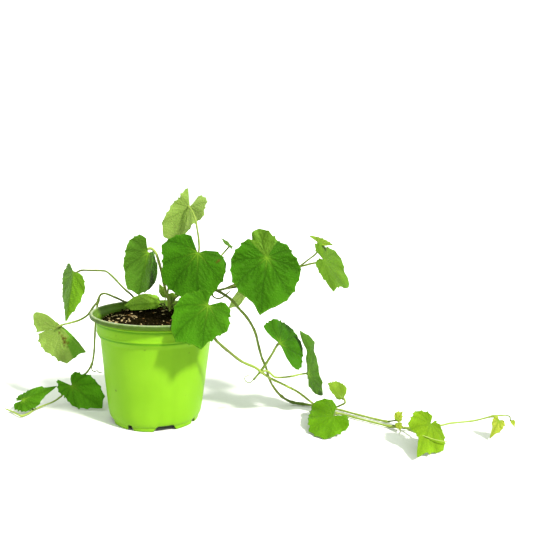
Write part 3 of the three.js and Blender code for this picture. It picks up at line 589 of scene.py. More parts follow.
def blade_grid(leaf):
    """Polar grid of the blade's plane: columns, rings, and each point's angle, reach, u and v."""
    count, cells, rings = leaf["points"], leaf["cells"], leaf["rings"]
    spread_left, spread_right = (radians(s) for s in leaf["spread"])
    total = spread_left + spread_right
    tip_point = round(count * spread_right / total)
    notch = leaf["tooth"] * TOOTH
    cells_right = round(cells * spread_right / total)
    sides = [("right", -spread_right, np.arange(cells_right, -1, -1) / cells_right, tip_point),
             ("left", spread_left, np.arange(1, cells - cells_right + 1) / (cells - cells_right),
              count - tip_point)]
    angles, outline, depth = [], [], []
    for side, spread, fraction, points in sides:
        beat = fraction * points / 2
        peak = np.abs(beat - np.floor(beat) - 0.5) * 2
        half = np.abs(2 * beat - np.floor(2 * beat) - 0.5) * 2
        angles.append(spread * fraction)
        outline.append(outline_radius(leaf, side, fraction))
        uneven = 0.75 + 0.4 * np.sin(points * fraction * 0.9 + 3 * leaf["seed"])
        teeth = 0.7 * (1 - peak**1.5) + 0.2 * (1 - half)
        depth.append(notch * uneven * teeth * np.minimum(1, 14 * fraction + 0.1))
    angle, radius, depth = (np.concatenate(part) for part in (angles, outline, depth))
    reach = (np.arange(1, rings + 1) / rings)[:, None]
    notched = radius[None, :] - (depth[None, :] - 0.15 * notch) * smoothstep(reach, 0.72, 1)
    share = np.where(angle > 0, angle / spread_left, angle / spread_right)
    closing = radians(leaf["seam"] / 2) * share**7 * (1 - smoothstep(reach, 0.6, 1))
    u = (reach * notched * np.cos(angle + closing)).ravel()
    v = (reach * notched * np.sin(angle + closing)).ravel()
    columns = len(angle)
    grid_angle = np.tile(angle, rings)
    grid_reach = np.repeat(reach[:, 0], columns)
    first = np.zeros(1)
    return (columns, rings, *(np.concatenate([first, part]) for part in (grid_angle, grid_reach, u, v)))


def build_leaf(leaf):
    """One closed blade: an upper and a lower face, and the strip round their margin."""
    columns, rings, angle, reach, u, v = blade_grid(leaf)
    along, face, left = leaf_axes(leaf)
    vein, nearest = vein_fields(leaf, u, v)
    vein = vein * leaf["veins"]
    puffed = leaf["relief"] * (1 - np.exp(-((nearest / PUFF_WIDTH) ** 2))) * smoothstep(reach, 0.02, 0.25)
    height = blade_height(leaf, u, v, reach, angle) + puffed
    middle = np.stack([u, v, height], 1)

    def at(ring, column):
        return 1 + ring * columns + column

    top = [(0, at(0, c), at(0, c + 1)) for c in range(columns - 1)]
    top += [(at(r, c), at(r + 1, c), at(r + 1, c + 1), at(r, c + 1))
            for r in range(rings - 1) for c in range(columns - 1)]
    normals = np.zeros_like(middle)
    for f in (np.array([f for f in top if len(f) == n]) for n in (3, 4)):
        across = np.cross(middle[f[:, 1]] - middle[f[:, 0]], middle[f[:, 2]] - middle[f[:, 0]])
        for k in range(f.shape[1]):
            np.add.at(normals, f[:, k], across)
    normals /= np.linalg.norm(normals, axis=1)[:, None] + 1e-12
    taper = BLADE / 2 * (1 - EDGE_TAPER * smoothstep(reach, 0.9, 1))
    ridge = RIDGE * vein * (1 - 0.6 * reach)
    upper = middle + normals * taper[:, None]
    lower = middle - normals * (taper + ridge)[:, None]
    count = len(middle)
    faces = list(top) + [tuple(count + i for i in reversed(f)) for f in top]
    slots = [0] * len(top) + [1] * len(top)
    border = [0, *(at(r, 0) for r in range(rings)), *(at(rings - 1, c) for c in range(1, columns)),
              *(at(r, columns - 1) for r in range(rings - 2, -1, -1))]
    for a, b in zip(border, border[1:] + border[:1]):
        faces.append((a, a + count, b + count, b))
        slots.append(0)
    flat = np.concatenate([upper, lower])
    if leaf["pinch"]:
        waist, width, center, strength = leaf["pinch"]
        squeeze = strength * np.exp(-(((flat[:, 0] - waist) / width) ** 2))
        flat[:, 1] -= (flat[:, 1] - center) * squeeze
    sweep = leaf["sweep"] / np.linalg.norm(leaf["tip"])
    flat[:, 1] += sweep * np.maximum(0, flat[:, 0]) ** 2
    world = np.array(leaf["at"]) + flat[:, :1] * along + flat[:, 1:2] * left + flat[:, 2:] * face
    tints = [leaf_tint(leaf, color, u, v, reach, nearest) for color in leaf["colors"]]
    uv = np.tile(np.stack([u, v], 1) / UV_SIZE + 0.07 * leaf["seed"], (2, 1))
    obj = build_mesh(leaf["name"] + "_blade", world, faces, [UPPER, UNDER], uv=uv, face_slots=slots,
                     tint=np.concatenate(tints), vein=np.tile(vein, 2),
                     glow=np.tile(np.exp(-((reach / leaf["glow"]) ** 2)), 2))
    part_piece(obj, "young_leaf" if leaf["young"] else "leaf", leaf["name"])


def blend(base, share, color):
    """The base colours, with a share of another colour at each point."""
    return base * (1 - share) + share * linear(color)


def leaf_tint(leaf, color, u, v, reach, nearest):
    """The leaf's colour at each point: paler at its heart and margin, darker near its veins and lighter on
    the puffs between them as painted shade and highlight, browned at its spots, and with its patches, some of
    them painted light.
    """
    base = np.tile(linear(color), (len(u), 1))
    seed = leaf["seed"]
    drift = np.sin(u * 0.09 + seed) * np.cos(v * 0.11 - 1.7 * seed)
    # A random drift in tone. Darker near the veins and lighter on the puffs between them, as painted shade
    # and highlight.
    base *= (1 + 0.1 * drift + 0.16 * smoothstep(nearest, 0.8, 4.0) - 0.08)[:, None]
    base = blend(base, 0.2 * np.exp(-((reach / 0.16) ** 2))[:, None], HEART_COLOR)
    base = blend(base, smoothstep(reach, 0.95, 1.0)[:, None] * 0.25, MARGIN_COLOR)
    angle = np.degrees(np.arctan2(v, u)) % 360
    for low, high, inner, strength, shade in leaf["patches"]:
        patch = smoothstep(angle, low - 2, low + 2) * (1 - smoothstep(angle, high - 2, high + 2))
        patch = strength * patch * smoothstep(reach, inner - 0.08, inner + 0.08)
        base = blend(base, patch[:, None], shade)
    for along, across, size, strength in leaf["spots"]:
        ragged = size * (1 + 0.35 * np.sin(3.1 * u + seed) * np.cos(2.7 * v))
        mark = strength * np.exp(-((np.hypot(u - along, v - across) / ragged) ** 4))
        base = blend(base, mark[:, None], SPOT_COLOR)
    return np.concatenate([base, np.ones((len(u), 1))], 1)


# Stems

RIBS = 5
KNOT_SWELL = 0.5
KNOT_LENGTH = 2.2
FLARE_LENGTH = 1.6
TIP_LENGTH = 5


def curve_points(route, step):
    """Evenly spaced points of a smooth curve through the route, and their distances along it."""
    p = np.asarray(route, float)
    p = np.concatenate([[2 * p[0] - p[1]], p, [2 * p[-1] - p[-2]]])
    t = np.concatenate([[0], np.cumsum(np.linalg.norm(np.diff(p, axis=0), axis=1) ** 0.5)])
    dense = []
    for i in range(1, len(p) - 2):
        for x in np.linspace(t[i], t[i + 1], 14, endpoint=False):
            row = list(p[i - 1:i + 3])
            for span, first in ((1, i - 1), (2, i - 1), (1, i)):
                row = [((t[j + span] - x) * a + (x - t[j]) * b) / (t[j + span] - t[j])
                       for j, (a, b) in enumerate(zip(row, row[1:]), first)]
            dense.append(row[0])
    dense.append(p[-2])
    dense = np.array(dense)
    s = np.concatenate([[0], np.cumsum(np.linalg.norm(np.diff(dense, axis=0), axis=1))])
    even = np.linspace(0, s[-1], max(4, int(round(s[-1] / step)) + 1))
    return np.stack([np.interp(even, s, dense[:, k]) for k in range(3)], 1), even


class StemMesh:
    """Tubes gathered into one mesh, with their ribs' streaks and their paleness along the way. The paleness
    is partly the stems' own colour and partly painted light on stretches that lie in shade.
    """

    def __init__(self):
        self.points, self.faces, self.streaks, self.pale = [], [], [], []

    def tube(self, route, radii, pale, sides=10, step=1.3, flare=1.0, knots=(), tip=False):
        """Add a tube. pale gives its paleness at shares of its length; tip makes it taper off."""
        start, end = radii
        path, s = curve_points(route, step)
        tangents = np.gradient(path, axis=0)
        tangents /= np.linalg.norm(tangents, axis=1)[:, None]
        guide = np.array([0.0, 0.0, 1.0]) if abs(tangents[0][2]) < 0.9 else np.array([1.0, 0.0, 0.0])
        base = len(self.points)
        length = s[-1]
        for i, (center, along) in enumerate(zip(path, tangents)):
            guide = guide - along * guide.dot(along)
            guide /= np.linalg.norm(guide)
            side = np.cross(along, guide)
            radius = start + (end - start) * s[i] / length
            radius *= 1 + 0.06 * sin(0.35 * s[i] + start * 9) + 0.04 * sin(0.9 * s[i])
            radius *= 1 + (flare - 1) * exp(-((length - s[i]) / FLARE_LENGTH) ** 2)
            for knot in knots:
                away = np.linalg.norm(center - np.array(knot)) / KNOT_LENGTH
                radius *= 1 + KNOT_SWELL * exp(-away ** 2)
            if tip:
                radius *= min(1.0, 0.35 + (length - s[i]) / TIP_LENGTH)
            paleness = float(np.interp(s[i] / length, *zip(*pale)))
            for j in range(sides):
                a = 2 * pi * j / sides
                rib = 1 + 0.05 * cos(RIBS * a)
                self.points.append(center + radius * rib * (cos(a) * guide + sin(a) * side))
                self.streaks.append(0.5 + 0.5 * cos(RIBS * a))
                self.pale.append(paleness)
        rows = len(path)
        for i in range(rows - 1):
            for j in range(sides):
                k = (j + 1) % sides
                a, b = base + i * sides, base + (i + 1) * sides
                self.faces.append((a + j, a + k, b + k, b + j))
        self.faces.append(tuple(base + j for j in reversed(range(sides))))
        self.faces.append(tuple(base + (rows - 1) * sides + j for j in range(sides)))

    def finish(self, name):
        return build_mesh(name, self.points, self.faces, [STEM], streak=self.streaks, pale=self.pale)


SOIL_LEVEL = 88.5
# Heights over the soil of the first points of a vine and of a petiole that grows from the soil
VINE_FOOT = (-12, -8, 1.5, 4.2)
PETIOLE_FOOT = (-4, 4)
VINE_SIDES = 12
VINE_STEP = 1.6
PETIOLE_FLARE = 1.5
PETIOLE_GAP = 0.05
PETIOLE_RISE = 2.4

# Where several stems part, in the crown, on vine_right and farther out on it
FORK = (53.5, 15, 114.5)
SPLIT = (94, -4, 45.5)
TRAIL = (222.5, -17, 3)


VINES = []


def vine(name, **values):
    """Add a vine, to which the shoots that follow belong."""
    VINES.append(dict(name=name, shoots=[], **values))


def shoot(leaf, *route, foot=None, radii=(1.0, 0.85), pale=0.1, tip=False):
    """A petiole that ends at its leaf, or a tendril or stub. foot is where it leaves the soil."""
    VINES[-1]["shoots"].append(dict(leaf=leaf, route=route, foot=foot, radii=radii, pale=pale, tip=tip))


vine("vine_left", root=(0.5, 34), radii=(1.1, 0.7), pale=((0, 0), (0.28, 0), (0.36, 0.9), (1, 0.9)),
     route=[(-2, 34.8, 95), (-8, 36, 95.8), (-16, 37.3, 95.4), (-25.5, 38, 95.5), (-34.5, 37, 95.5),
     (-46, 35, 100.5), (-56, 32.5, 104.5), (-59.5, 32, 103), (-61.5, 31.5, 97), (-63, 32, 88.5),
     (-64, 32, 78.5), (-65, 32, 59), (-65.5, 31, 46), (-67, 29, 36), (-71, 27, 29), (-76, 26, 24.5),
     (-84, 24, 16), (-92, 20, 8), (-98, 14, 4), (-105.5, 6, 2.4), (-109.5, -3, 2), (-111, -12, 2),
     (-114.5, -17.5, 2), (-120, -14, 2), (-127, -8.5, 2), (-135.5, -4.5, 3)],
     knots=[(-25.5, 38, 95.5), (-61.5, 31.5, 97), (-67, 29, 36), (-76, 26, 24.5), (-114.5, -17.5, 2)])
shoot("leaf_left_folded", (-25.5, 38, 95.5), (-31, 36.5, 103), (-37.5, 35, 109), (-49, 34, 121),
      (-54.5, 33, 125.5), (-58, 32.5, 126), (-69, 32, 126), (-78, 33, 125.5))
shoot("leaf_left_low", (-61.5, 31.5, 97), (-66.5, 33, 91), (-71.5, 33, 83.5), (-78, 30, 79), (-85, 25.5, 77),
      (-90, 21, 76.2), (-93.5, 18.6, 75.2), radii=(1.1, 0.9), pale=0.6)
shoot("leaf_left_ground", (-76, 26, 24.5), (-78.5, 21, 23))
shoot("leaf_left_tip", (-109.7, -4, 2), (-113.5, -1.8, 5))
shoot("leaf_on_soil", (-1, 35.2, 93), (1.5, 31.5, 96), (0, 28, 98), radii=(0.8, 0.7))
shoot(None, (-67, 29, 36), (-66, 27.5, 31), (-63, 26, 30.5), (-60.5, 25.5, 31.5), (-59, 25, 30),
      (-54, 24, 31), radii=(0.5, 0.35), tip=True)

vine("vine_main", root=(8, 20), radii=(1.4, 1.0),
     pale=((0, 0.2), (0.55, 0.45), (0.65, 0.6), (0.68, 0), (0.73, 0), (0.76, 0.8), (1, 0.9)),
     route=[(9.5, 20, 97), (14.3, 19, 99), (19, 18, 105), (24, 17.5, 110.5), (30, 17, 115), (40, 12, 118.5),
     (51, 5, 116.5), (65, 0, 109.5), (72, 0, 102), (80.5, 3, 92), (87.5, 7, 79), (91, 12, 65.5),
     (94.5, 18, 52), (99, 23, 40.5), (101.5, 27, 31), (105.5, 31, 21.5), (114, 35, 10), (124.5, 38, 3),
     (137.5, 36, 1.8), (152, 32, 1.8), (167, 26, 1.8), (186, 13.5, 1.8), (204.5, 2, 1.8), (212, -4, 2.6)],
     knots=[FORK, (115, 35.5, 9), (126, 38, 2.6), (131, 37.2, 2.2), (136, 36.2, 1.8), (158, 30, 1.8),
     (210, -2, 2.2)])
shoot("leaf_crown", (6.7, 21, 100), (6, 20, 110), (9.5, 18, 121), (19, 15, 131), (29, 13, 140),
      (34.5, 12, 148.5), (34.5, 12, 160), (33, 10.5, 170), (31.5, 10, 178), (28, 14.5, 185), foot=(6.5, 21),
      pale=0.6)
shoot("leaf_upper_left", (8.4, 17, 101), (5.3, 15, 110.5), (2.5, 11, 127), (0, 6, 140), (-2.5, 4, 148),
      (-6.5, 4, 151.5), (-10, 3.3, 150.5), foot=(8.8, 18.5), radii=(1.45, 1.15), pale=0.9)
shoot("leaf_center", (15, 19.5, 98.5), (19.5, 16, 105.3), (24, 12.5, 112), (31, 6, 124.5), (35, 1, 138),
      foot=(11.5, 20))
shoot("leaf_front", (19, 8, 101), (33, -12, 106.5), (43, -30, 108), foot=(13.5, 17.5))
shoot("leaf_right_large", (9.6, 23, 100), (13.3, 22.5, 105), (18, 22, 108.3), (24.5, 20, 112),
      (38.5, 18, 116.5), FORK, (64.5, 10, 119.5), (78, 6, 127), (89, 0, 139), foot=(9.6, 22.5), pale=0.8)
shoot("leaf_far_right", FORK, (64, 19, 117), (81.5, 20, 124), (104, 18, 133.5), (125.5, 14, 138.5),
      (135, 10, 142), pale=0.9)
shoot("leaf_far_right_upper", (125.5, 14, 138.5), (133, 13, 145), (140.8, 12, 152.5), radii=(0.8, 0.7),
      pale=0.9)
shoot("leaf_behind_upper", (38.5, 18, 116.5), (42, 17, 127), (50, 18, 140), (56, 20, 147.5),
      radii=(0.8, 0.7), pale=0.5)
shoot("leaf_behind_lower", FORK, (65, 21, 116), (74, 23.5, 117), (79, 23, 115), (80, 20, 112),
      radii=(0.8, 0.7))
shoot("seed_leaf_left", (1.5, 32, 90), (1.3, 31, 97), radii=(0.6, 0.5))
shoot("seed_leaf_right", (8, 20, 96), (8.2, 23.5, 98), radii=(0.7, 0.6))
shoot(None, FORK, (48.5, 14, 113), (48, 13, 109.5), (51.5, 12.5, 107.3), (56, 12.5, 107.8),
      (60, 12.5, 110.8), (64.5, 13, 115.3), radii=(0.8, 0.6), pale=0.4, tip=True)
shoot("leaf_right_small", (158, 30, 1.8), (163, 20, 5), (169, 9, 12), (172, 3.5, 17), pale=0.8)
shoot("leaf_node_upper", (210, -2, 2.2), (213, -5, 4), radii=(0.8, 0.6))

vine("vine_right", root=(20, 12), radii=(1.45, 0.75),
     pale=((0, 0.1), (0.28, 0.2), (0.34, 0.6), (0.42, 1), (1, 0.85)),
     route=[(21, 11, 96.5), (27.5, 2, 101.5), (37.5, -16, 104), (45.5, -31, 102.5), (50, -38, 96.5),
     (55, -41, 84.5), (60.5, -36, 77), (67.5, -29, 69), (77.5, -19, 58.5), (89.5, -8, 50), SPLIT,
     (102, 4, 37.5), (115.5, 13, 28.5), (129, 19, 20), (140, 21, 11.5), (151, 19.5, 4), (160, 17, 1.8),
     (170, 14, 1.8), (186.5, 3, 1.8), (200, -5.5, 1.8), (210, -12, 2), TRAIL, (235.5, -19, 5),
     (252.5, -20, 7.5), (261.5, -18, 9), (283.5, -15, 11), (299, -17, 16.5), (306, -17, 17.5),
     (311, -17, 17.2)],
     knots=[SPLIT, (165, 15.5, 1.8), (210, -12, 2), TRAIL, (299, -17, 16.5)])
shoot("leaf_right_arched", SPLIT, (98, -5, 52), (103.5, -6, 62), radii=(1.25, 1.05), pale=0.3)
shoot("leaf_right_upright", SPLIT, (100, -2, 45.5), (103.5, -1, 42.5), (107, 0, 39.5), (113, 1, 39),
      (122.5, 4, 39.5), (129, 8, 40), pale=0.9)
shoot("leaf_right_ground", (165, 15.5, 1.8), (163, 4, 5))
shoot("leaf_vine_tip", TRAIL, (228, -27, 5.5), (233, -36, 10), pale=0.9)
shoot(None, TRAIL, (220.8, -35, 8.8), (221.8, -52, 13.5), (227.7, -58.5, 13.7), (236, -58.1, 11),
      (244.5, -56.9, 9), (249, -55.8, 8.2), radii=(0.5, 0.35), pale=1, tip=True)
shoot("leaf_end_bud", (306, -17, 17.5), (311, -16.5, 17.2), (314.5, -15.5, 16), radii=(0.6, 0.5))
shoot("leaf_end_small", (299, -17, 16.5), (300.5, -17.5, 16.5), radii=(0.6, 0.5))
shoot("leaf_node_lower", (210, -12, 2), (213, -13, 3), radii=(0.7, 0.6))
shoot(None, SPLIT, (90, -6, 41), (88, -8, 39), radii=(1.1, 0.9))
shoot(None, (88, -8, 39), (85, -9, 36.5), (81.5, -9.5, 37.5), (80, -9.5, 40.5), (82.5, -9.5, 43),
      (86, -9, 42.5), radii=(0.45, 0.3), tip=True)


def up_from_soil(foot, heights):
    """Points above one another, at heights over the soil."""
    return [(*foot, SOIL_LEVEL + z) for z in heights]


def build_vine(vine):
    """A vine's stem with its petioles, tendrils and stubs, in one mesh."""
    stems = StemMesh()
    route = up_from_soil(vine["root"], VINE_FOOT) + vine["route"]
    stems.tube(route, vine["radii"], vine["pale"], VINE_SIDES, VINE_STEP, knots=vine["knots"], tip=True)
    for branch in vine["shoots"]:
        route = list(branch["route"])
        if branch["foot"]:
            route = up_from_soil(branch["foot"], PETIOLE_FOOT) + route
        if branch["leaf"]:
            leaf = next(leaf for leaf in LEAVES if leaf["name"] == branch["leaf"])
            face = leaf_axes(leaf)[1]
            end = np.array(leaf["at"]) - face * (BLADE / 2 + PETIOLE_GAP)
            route += [tuple(end - face * PETIOLE_RISE), tuple(end)]
        stems.tube(route, branch["radii"], ((0, branch["pale"]),), tip=branch["tip"],
                   flare=PETIOLE_FLARE if branch["leaf"] else 1.0)
    part_piece(stems.finish(vine["name"] + "_stems"), "stem", vine["name"])


# Pot

POT_COLUMNS = 288
# The pot's profile as radius and height: out along the underside and down the foot ring, up the outside,
# then over the lip and down the inside
UNDERSIDE = [(0.0, 3.6), (12, 3.6), (22, 3.6), (30, 3.6), (34.5, 3.6), (36.1, 3.5), (36.5, 3.0), (36.6, 1.8),
             (36.7, 0.5), (37.1, 0.0), (38.1, 0.0)]
OUTSIDE = [(38.6, 0.5), (38.7, 1.6), (38.85, 2.6), (38.95, 3.4), (39.2, 3.9), (39.8, 4.4), (40.3, 5.6),
           (40.9, 8), (41.5, 11), (41.85, 14), (43.2, 26), (44.6, 38), (45.9, 50), (47.2, 62), (48.3, 73.2),
           (48.6, 74.2), (49.4, 75.4), (50.4, 77.2), (51.0, 78.2), (51.1, 78.9), (51.0, 79.2), (51.4, 79.6),
           (51.75, 80.0), (51.75, 80.5), (51.5, 81.0), (51.6, 82.5), (51.8, 86.5), (51.85, 88.3),
           (51.7, 88.7), (51.9, 89.1), (52.5, 89.4), (52.7, 89.8), (52.5, 90.2), (52.3, 90.7), (52.8, 91.4)]
INSIDE = [(54.6, 91.8), (56.3, 92.0), (57.1, 92.3), (57.5, 93.0), (57.5, 94.4), (57.1, 95.2), (56.5, 95.8),
          (55.9, 96.0), (55.2, 95.8), (54.6, 95.2), (54.3, 94.2), (53.6, 92.8), (52.0, 91.2), (50.9, 89.8),
          (50.5, 86), (50.2, 79), (49.3, 77.4), (47.4, 74.4), (47.1, 73), (45.9, 62), (43.4, 38), (40.7, 14),
          (39.9, 9), (38.7, 5.6), (30, 5.1), (22, 5.1), (0.0, 5.1)]
PROFILE = UNDERSIDE + OUTSIDE + INSIDE
LIP = len(UNDERSIDE + OUTSIDE)
LIP_SIDE = 56.9
# Height bands of the two grooves under the lip, which get painted shade
CREASES = ((78.1, 79.3), (88.2, 88.9))

# Cuts in the foot ring: angle, half the width at the ground and at the top, height
NOTCHES = [(-67 + 90 * i, 9.8, 6.4, 5.2) for i in range(4)]
NOTCHES += [(-22 + 90 * i, 2.5, 1.8, 4.6) for i in range(4)]
NOTCH_RADIUS = 38
NOTCH_ROWS = range(6, 17)

# Drain holes, at a radius and angles, and the angle over which one spreads
DRAIN_RING = 26
DRAIN_RADIUS = 4
DRAIN_ANGLES = [-20 + 90 * i for i in range(4)]
DRAIN_SPREAD = 8.75
# The profile's points at the near and the far side of a hole, under the floor and on it
NEAR = (2, len(PROFILE) - 2)
FAR = (3, len(PROFILE) - 3)


def drain_width(angle):
    """Half the width of a drain hole at an angle in degrees, or None beside the holes."""
    offset = min(abs((angle - center + 180) % 360 - 180) for center in DRAIN_ANGLES) / DRAIN_SPREAD
    return None if offset > 1.001 else DRAIN_RADIUS * sqrt(max(0.0, 1 - offset**2))


def notch_height(angle):
    """How far the foot ring is cut up from the ground at an angle in degrees."""
    height = 0.0
    for center, half_bottom, half_top, depth in NOTCHES:
        offset = radians(abs((angle - center + 180) % 360 - 180)) * NOTCH_RADIUS
        if offset < half_bottom:
            height = max(height, depth * min(1.0, (half_bottom - offset) / (half_bottom - half_top)))
    return height


def pot_wear_and_shade(r, z, outside, under):
    """Mud with painted shade on the underside, a rim colour of stain and painted shade, pale dust with a
    painted highlight on the lip's top, and painted shade in the grooves, at a point of the profile, each from
    0 to 1.
    """
    # Mud near the rim and at the foot. On the underside and the raised notch faces this is painted shade.
    grime = max(smoothstep(z, 84, 93) * 0.5, 1 - smoothstep(z, 2, 8), under) * 0.8
    # Inside the lip the rim colour is partly stain and partly painted shade on the inner wall.
    rim = 0.7
    # On the outside of the lip the rim colour is partly stain and partly painted shade. The underside takes
    # it fully, as painted shade.
    if outside or r > LIP_SIDE:
        rim = max(under, smoothstep(z, 90.2, 91.2) * (0.8 + 0.15 * smoothstep(z, 92.0, 94.5)))
    # Pale dust on the lip's top, which also paints a highlight there.
    edge = 0.0 if outside else smoothstep(z, 95.0, 95.8) * smoothstep(r, 54.0, 55.1)
    # Painted shade in the grooves under the lip.
    crease = float(outside and any(low < z < high for low, high in CREASES))
    return grime, rim, edge, crease


def build_pot():
    """The pot's wall and floor in one closed shell, turned from the profile."""
    points, faces, surface_marks = [], [], []
    rows = len(PROFILE)
    for c in range(POT_COLUMNS):
        degrees = 360 * c / POT_COLUMNS
        a = radians(degrees)
        cut = notch_height(degrees)
        drain = drain_width(degrees)
        for i, (r, z) in enumerate(PROFILE):
            if drain is not None and i in NEAR:
                r = DRAIN_RING - drain
            if drain is not None and i in FAR:
                r = DRAIN_RING + drain
            raised = i in NOTCH_ROWS and z < cut
            if raised:
                z = cut
            points.append((r * cos(a), r * sin(a), z))
            # The underside and the raised notch faces get painted shade, as if they lay in the shadow under
            # the pot.
            under = 1.0 if raised or i < len(UNDERSIDE) - 2 else 0.0
            surface_marks.append(pot_wear_and_shade(r, z, i < LIP, under))
    for c in range(POT_COLUMNS):
        n = (c + 1) % POT_COLUMNS
        in_drain = all(drain_width(360 * k / POT_COLUMNS) is not None for k in (c, n))
        if in_drain:
            for low, high in ((NEAR[1], NEAR[0]), FAR):
                faces.append((c * rows + low, n * rows + low, n * rows + high, c * rows + high))
        for i in range(rows - 1):
            if in_drain and i in (NEAR[0], FAR[1]):
                continue
            faces.append((c * rows + i, n * rows + i, n * rows + i + 1, c * rows + i + 1))
    grime, rim, edge, crease = zip(*surface_marks)
    pot = build_mesh("pot_shell", points, faces, [POT], grime=grime, rim=rim, edge=edge, crease=crease)
    work = bmesh.new()
    work.from_mesh(pot.data)
    bmesh.ops.remove_doubles(work, verts=work.verts, dist=1e-6)
    bmesh.ops.recalc_face_normals(work, faces=work.faces)
    work.to_mesh(pot.data)
    work.free()
    part_piece(pot, "pot", "pot")


# Soil

SOIL_EDGE = 50.15
SOIL_RINGS = 62
SOIL_COLUMNS = 190
# Radius and height where the bed's side and its flat bottom end
SOIL_BED = ((48.6, 76), (46.8, 74))
MOUND_AT = (9, 20)
MOUND_HEIGHT = 4.5
MOUND_SPREAD = 60
SCATTER_RADIUS = 48.6
GRAIN_RISE = 0.5


def soil_height(x, y):
    """The height of the soil solid's own surface."""
    slope = 0.03 * x + 0.055 * y
    crumbs = (0.9 * sin(0.31 * x + 0.9) * cos(0.27 * y - 0.4)
              + 0.6 * sin(0.71 * x - 0.43 * y) + 0.45 * cos(0.52 * x + 0.88 * y + 1.1))
    return SOIL_LEVEL + slope + crumbs


def rough_soil(x, y):
    """That surface with fine lumps and a mound round the crown's foot."""
    p = Vector((x, y, 0))
    fine = 0.9 * noise.noise(p * 0.22) + 0.7 * noise.noise(p * 0.55) + 0.45 * noise.noise(p * 1.3)
    mound = MOUND_HEIGHT * exp(-((x - MOUND_AT[0]) ** 2 + (y - MOUND_AT[1]) ** 2) / MOUND_SPREAD)
    return soil_height(x, y) + fine + mound


def ring(radius, columns):
    for j in range(columns):
        a = 2 * pi * j / columns
        yield radius * cos(a), radius * sin(a)


def build_soil():
    """The soil's surface and the bed under it, in one closed mesh."""
    rings, columns = SOIL_RINGS, SOIL_COLUMNS
    points = [(0, 0, rough_soil(0, 0))]
    for i in range(1, rings + 1):
        r = SOIL_EDGE * i / rings
        sink = 1.2 * smoothstep(r, 44, SOIL_EDGE)
        points += [(x, y, rough_soil(x, y) - sink) for x, y in ring(r, columns)]
    for r, z in SOIL_BED:
        points += [(x, y, z) for x, y in ring(r, columns)]
    points.append((0, 0, SOIL_BED[-1][1]))
    loops = rings + len(SOIL_BED)
    faces = []
    for j in range(columns):
        k = (j + 1) % columns
        faces.append((0, 1 + j, 1 + k))
        for i in range(loops - 1):
            a, b = 1 + i * columns, 1 + (i + 1) * columns
            faces.append((a + j, b + j, b + k, a + k))
        last = 1 + (loops - 1) * columns
        faces.append((last + j, 1 + loops * columns, last + k))
    part_piece(build_mesh("soil_bed", points, faces, [SOIL]), "soil", "soil")


def scatter(name, material, count, sizes, seed, stretch=(1, 1, 1), levels=1, cluster=None):
    """Angular grains on the soil. cluster gives the middle, radius and share of a heap of them."""
    rng = random.Random(seed)
    work = bmesh.new()
    bmesh.ops.create_icosphere(work, subdivisions=levels, radius=1)
    shape = [v.co.copy() for v in work.verts]
    corners = [[v.index for v in f.verts] for f in work.faces]
    work.free()
    points, faces = [], []
    for n in range(count):
        middle_x, middle_y, reach = 0, 0, SCATTER_RADIUS
        if cluster and rng.random() < cluster[3]:
            middle_x, middle_y, reach = cluster[:3]
        r, a = reach * sqrt(rng.random()), rng.uniform(0, 2 * pi)
        x, y = middle_x + r * cos(a), middle_y + r * sin(a)
        if hypot(x, y) > SCATTER_RADIUS:
            continue
        size = rng.uniform(*sizes) * rng.uniform(0.6, 1)
        turn = Matrix.Rotation(rng.uniform(0, 6.28), 3, "Z") @ Matrix.Rotation(rng.uniform(-0.7, 0.7), 3, "X")
        center = Vector((x, y, rough_soil(x, y) + size * min(stretch) * GRAIN_RISE))
        base = len(points)
        for co in shape:
            bumpy = 1 + 0.5 * noise.noise(co * 1.3 + Vector((n * 3.7, n, 0)))
            local = Vector((co.x * stretch[0], co.y * stretch[1], co.z * stretch[2])) * bumpy * size
            points.append(center + turn @ local)
        faces += [[base + i for i in f] for f in corners]
    part_piece(build_mesh(name, points, faces, [material], smooth=False), "soil")


# Stage

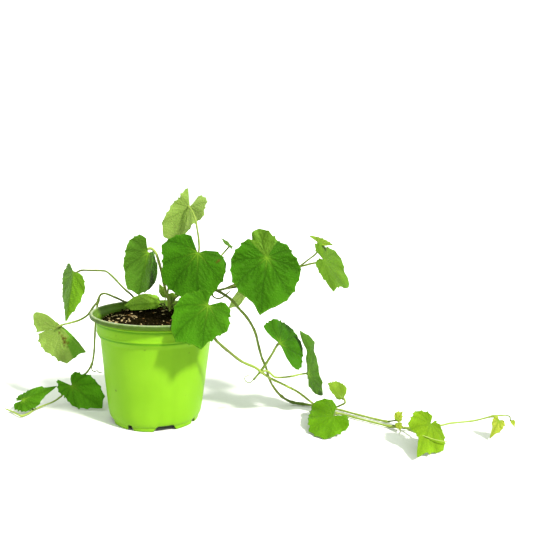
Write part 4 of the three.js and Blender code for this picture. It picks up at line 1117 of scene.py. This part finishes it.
# Metres
FLOOR_SIZE = 12
FLOOR_AT = (0, 0, -0.0002)
WORLD_LIGHT = 1.3
WORLD_TINT = (0.93, 1.0, 0.9, 1)
# Name, the way to the lamp, strength, width in degrees and colour
LAMPS = [
    ("key", (0.55, -0.43, 0.7), 7.3, 7.0, (1.0, 0.95, 0.92)),
    ("fill", (-0.8, -0.5, 0.35), 0.4, 60.0, (1.0, 1.0, 0.9)),
]


def build_stage():
    """The floor, the light all round and the lamps."""
    bpy.ops.mesh.primitive_plane_add(size=FLOOR_SIZE, location=FLOOR_AT)
    floor = bpy.context.active_object
    floor.name = "floor"
    floor.data.materials.append(FLOOR)

    world = bpy.data.worlds.new("studio")
    world.use_nodes = True
    world.node_tree.nodes["Background"].inputs["Color"].default_value = WORLD_TINT
    world.node_tree.nodes["Background"].inputs["Strength"].default_value = WORLD_LIGHT
    bpy.context.scene.world = world
    for name, source, strength, angle, tint in LAMPS:
        data = bpy.data.lights.new(name, "SUN")
        data.energy = strength
        data.color = tint
        data.angle = radians(angle)
        lamp = add_object(name, data)
        lamp.rotation_euler = (-Vector(source)).to_track_quat("-Z", "Y").to_euler()
    bpy.context.scene.view_settings.view_transform = "Standard"


def build_camera():
    """The camera, tilted down and turned about its own axis."""
    data = bpy.data.cameras.new("camera")
    data.sensor_fit = "HORIZONTAL"
    data.sensor_width = CAMERA_SENSOR
    data.lens = CAMERA_LENS
    camera = add_object("camera", data)
    tilt = Matrix.Rotation(radians(90 - CAMERA_DOWN), 4, "X")
    roll = Matrix.Rotation(radians(CAMERA_ROLL), 4, "Z")
    camera.matrix_world = Matrix.Translation(place(CAMERA_AT)) @ tilt @ roll
    bpy.context.scene.camera = camera


build_camera()
build_stage()
build_pot()
build_soil()
scatter("soil_crumbs", CRUMBS, 900, (0.5, 1.5), 11)
scatter("soil_perlite", PERLITE, 150, (0.6, 1.6), 12, stretch=(1.4, 0.9, 0.5), levels=2,
        cluster=(-36, 0, 17, 0.5))
scatter("soil_bark", BARK, 70, (0.7, 1.8), 13, stretch=(1.7, 0.7, 0.4))
for row in VINES:
    build_vine(row)
for row in LEAVES:
    build_leaf(row)
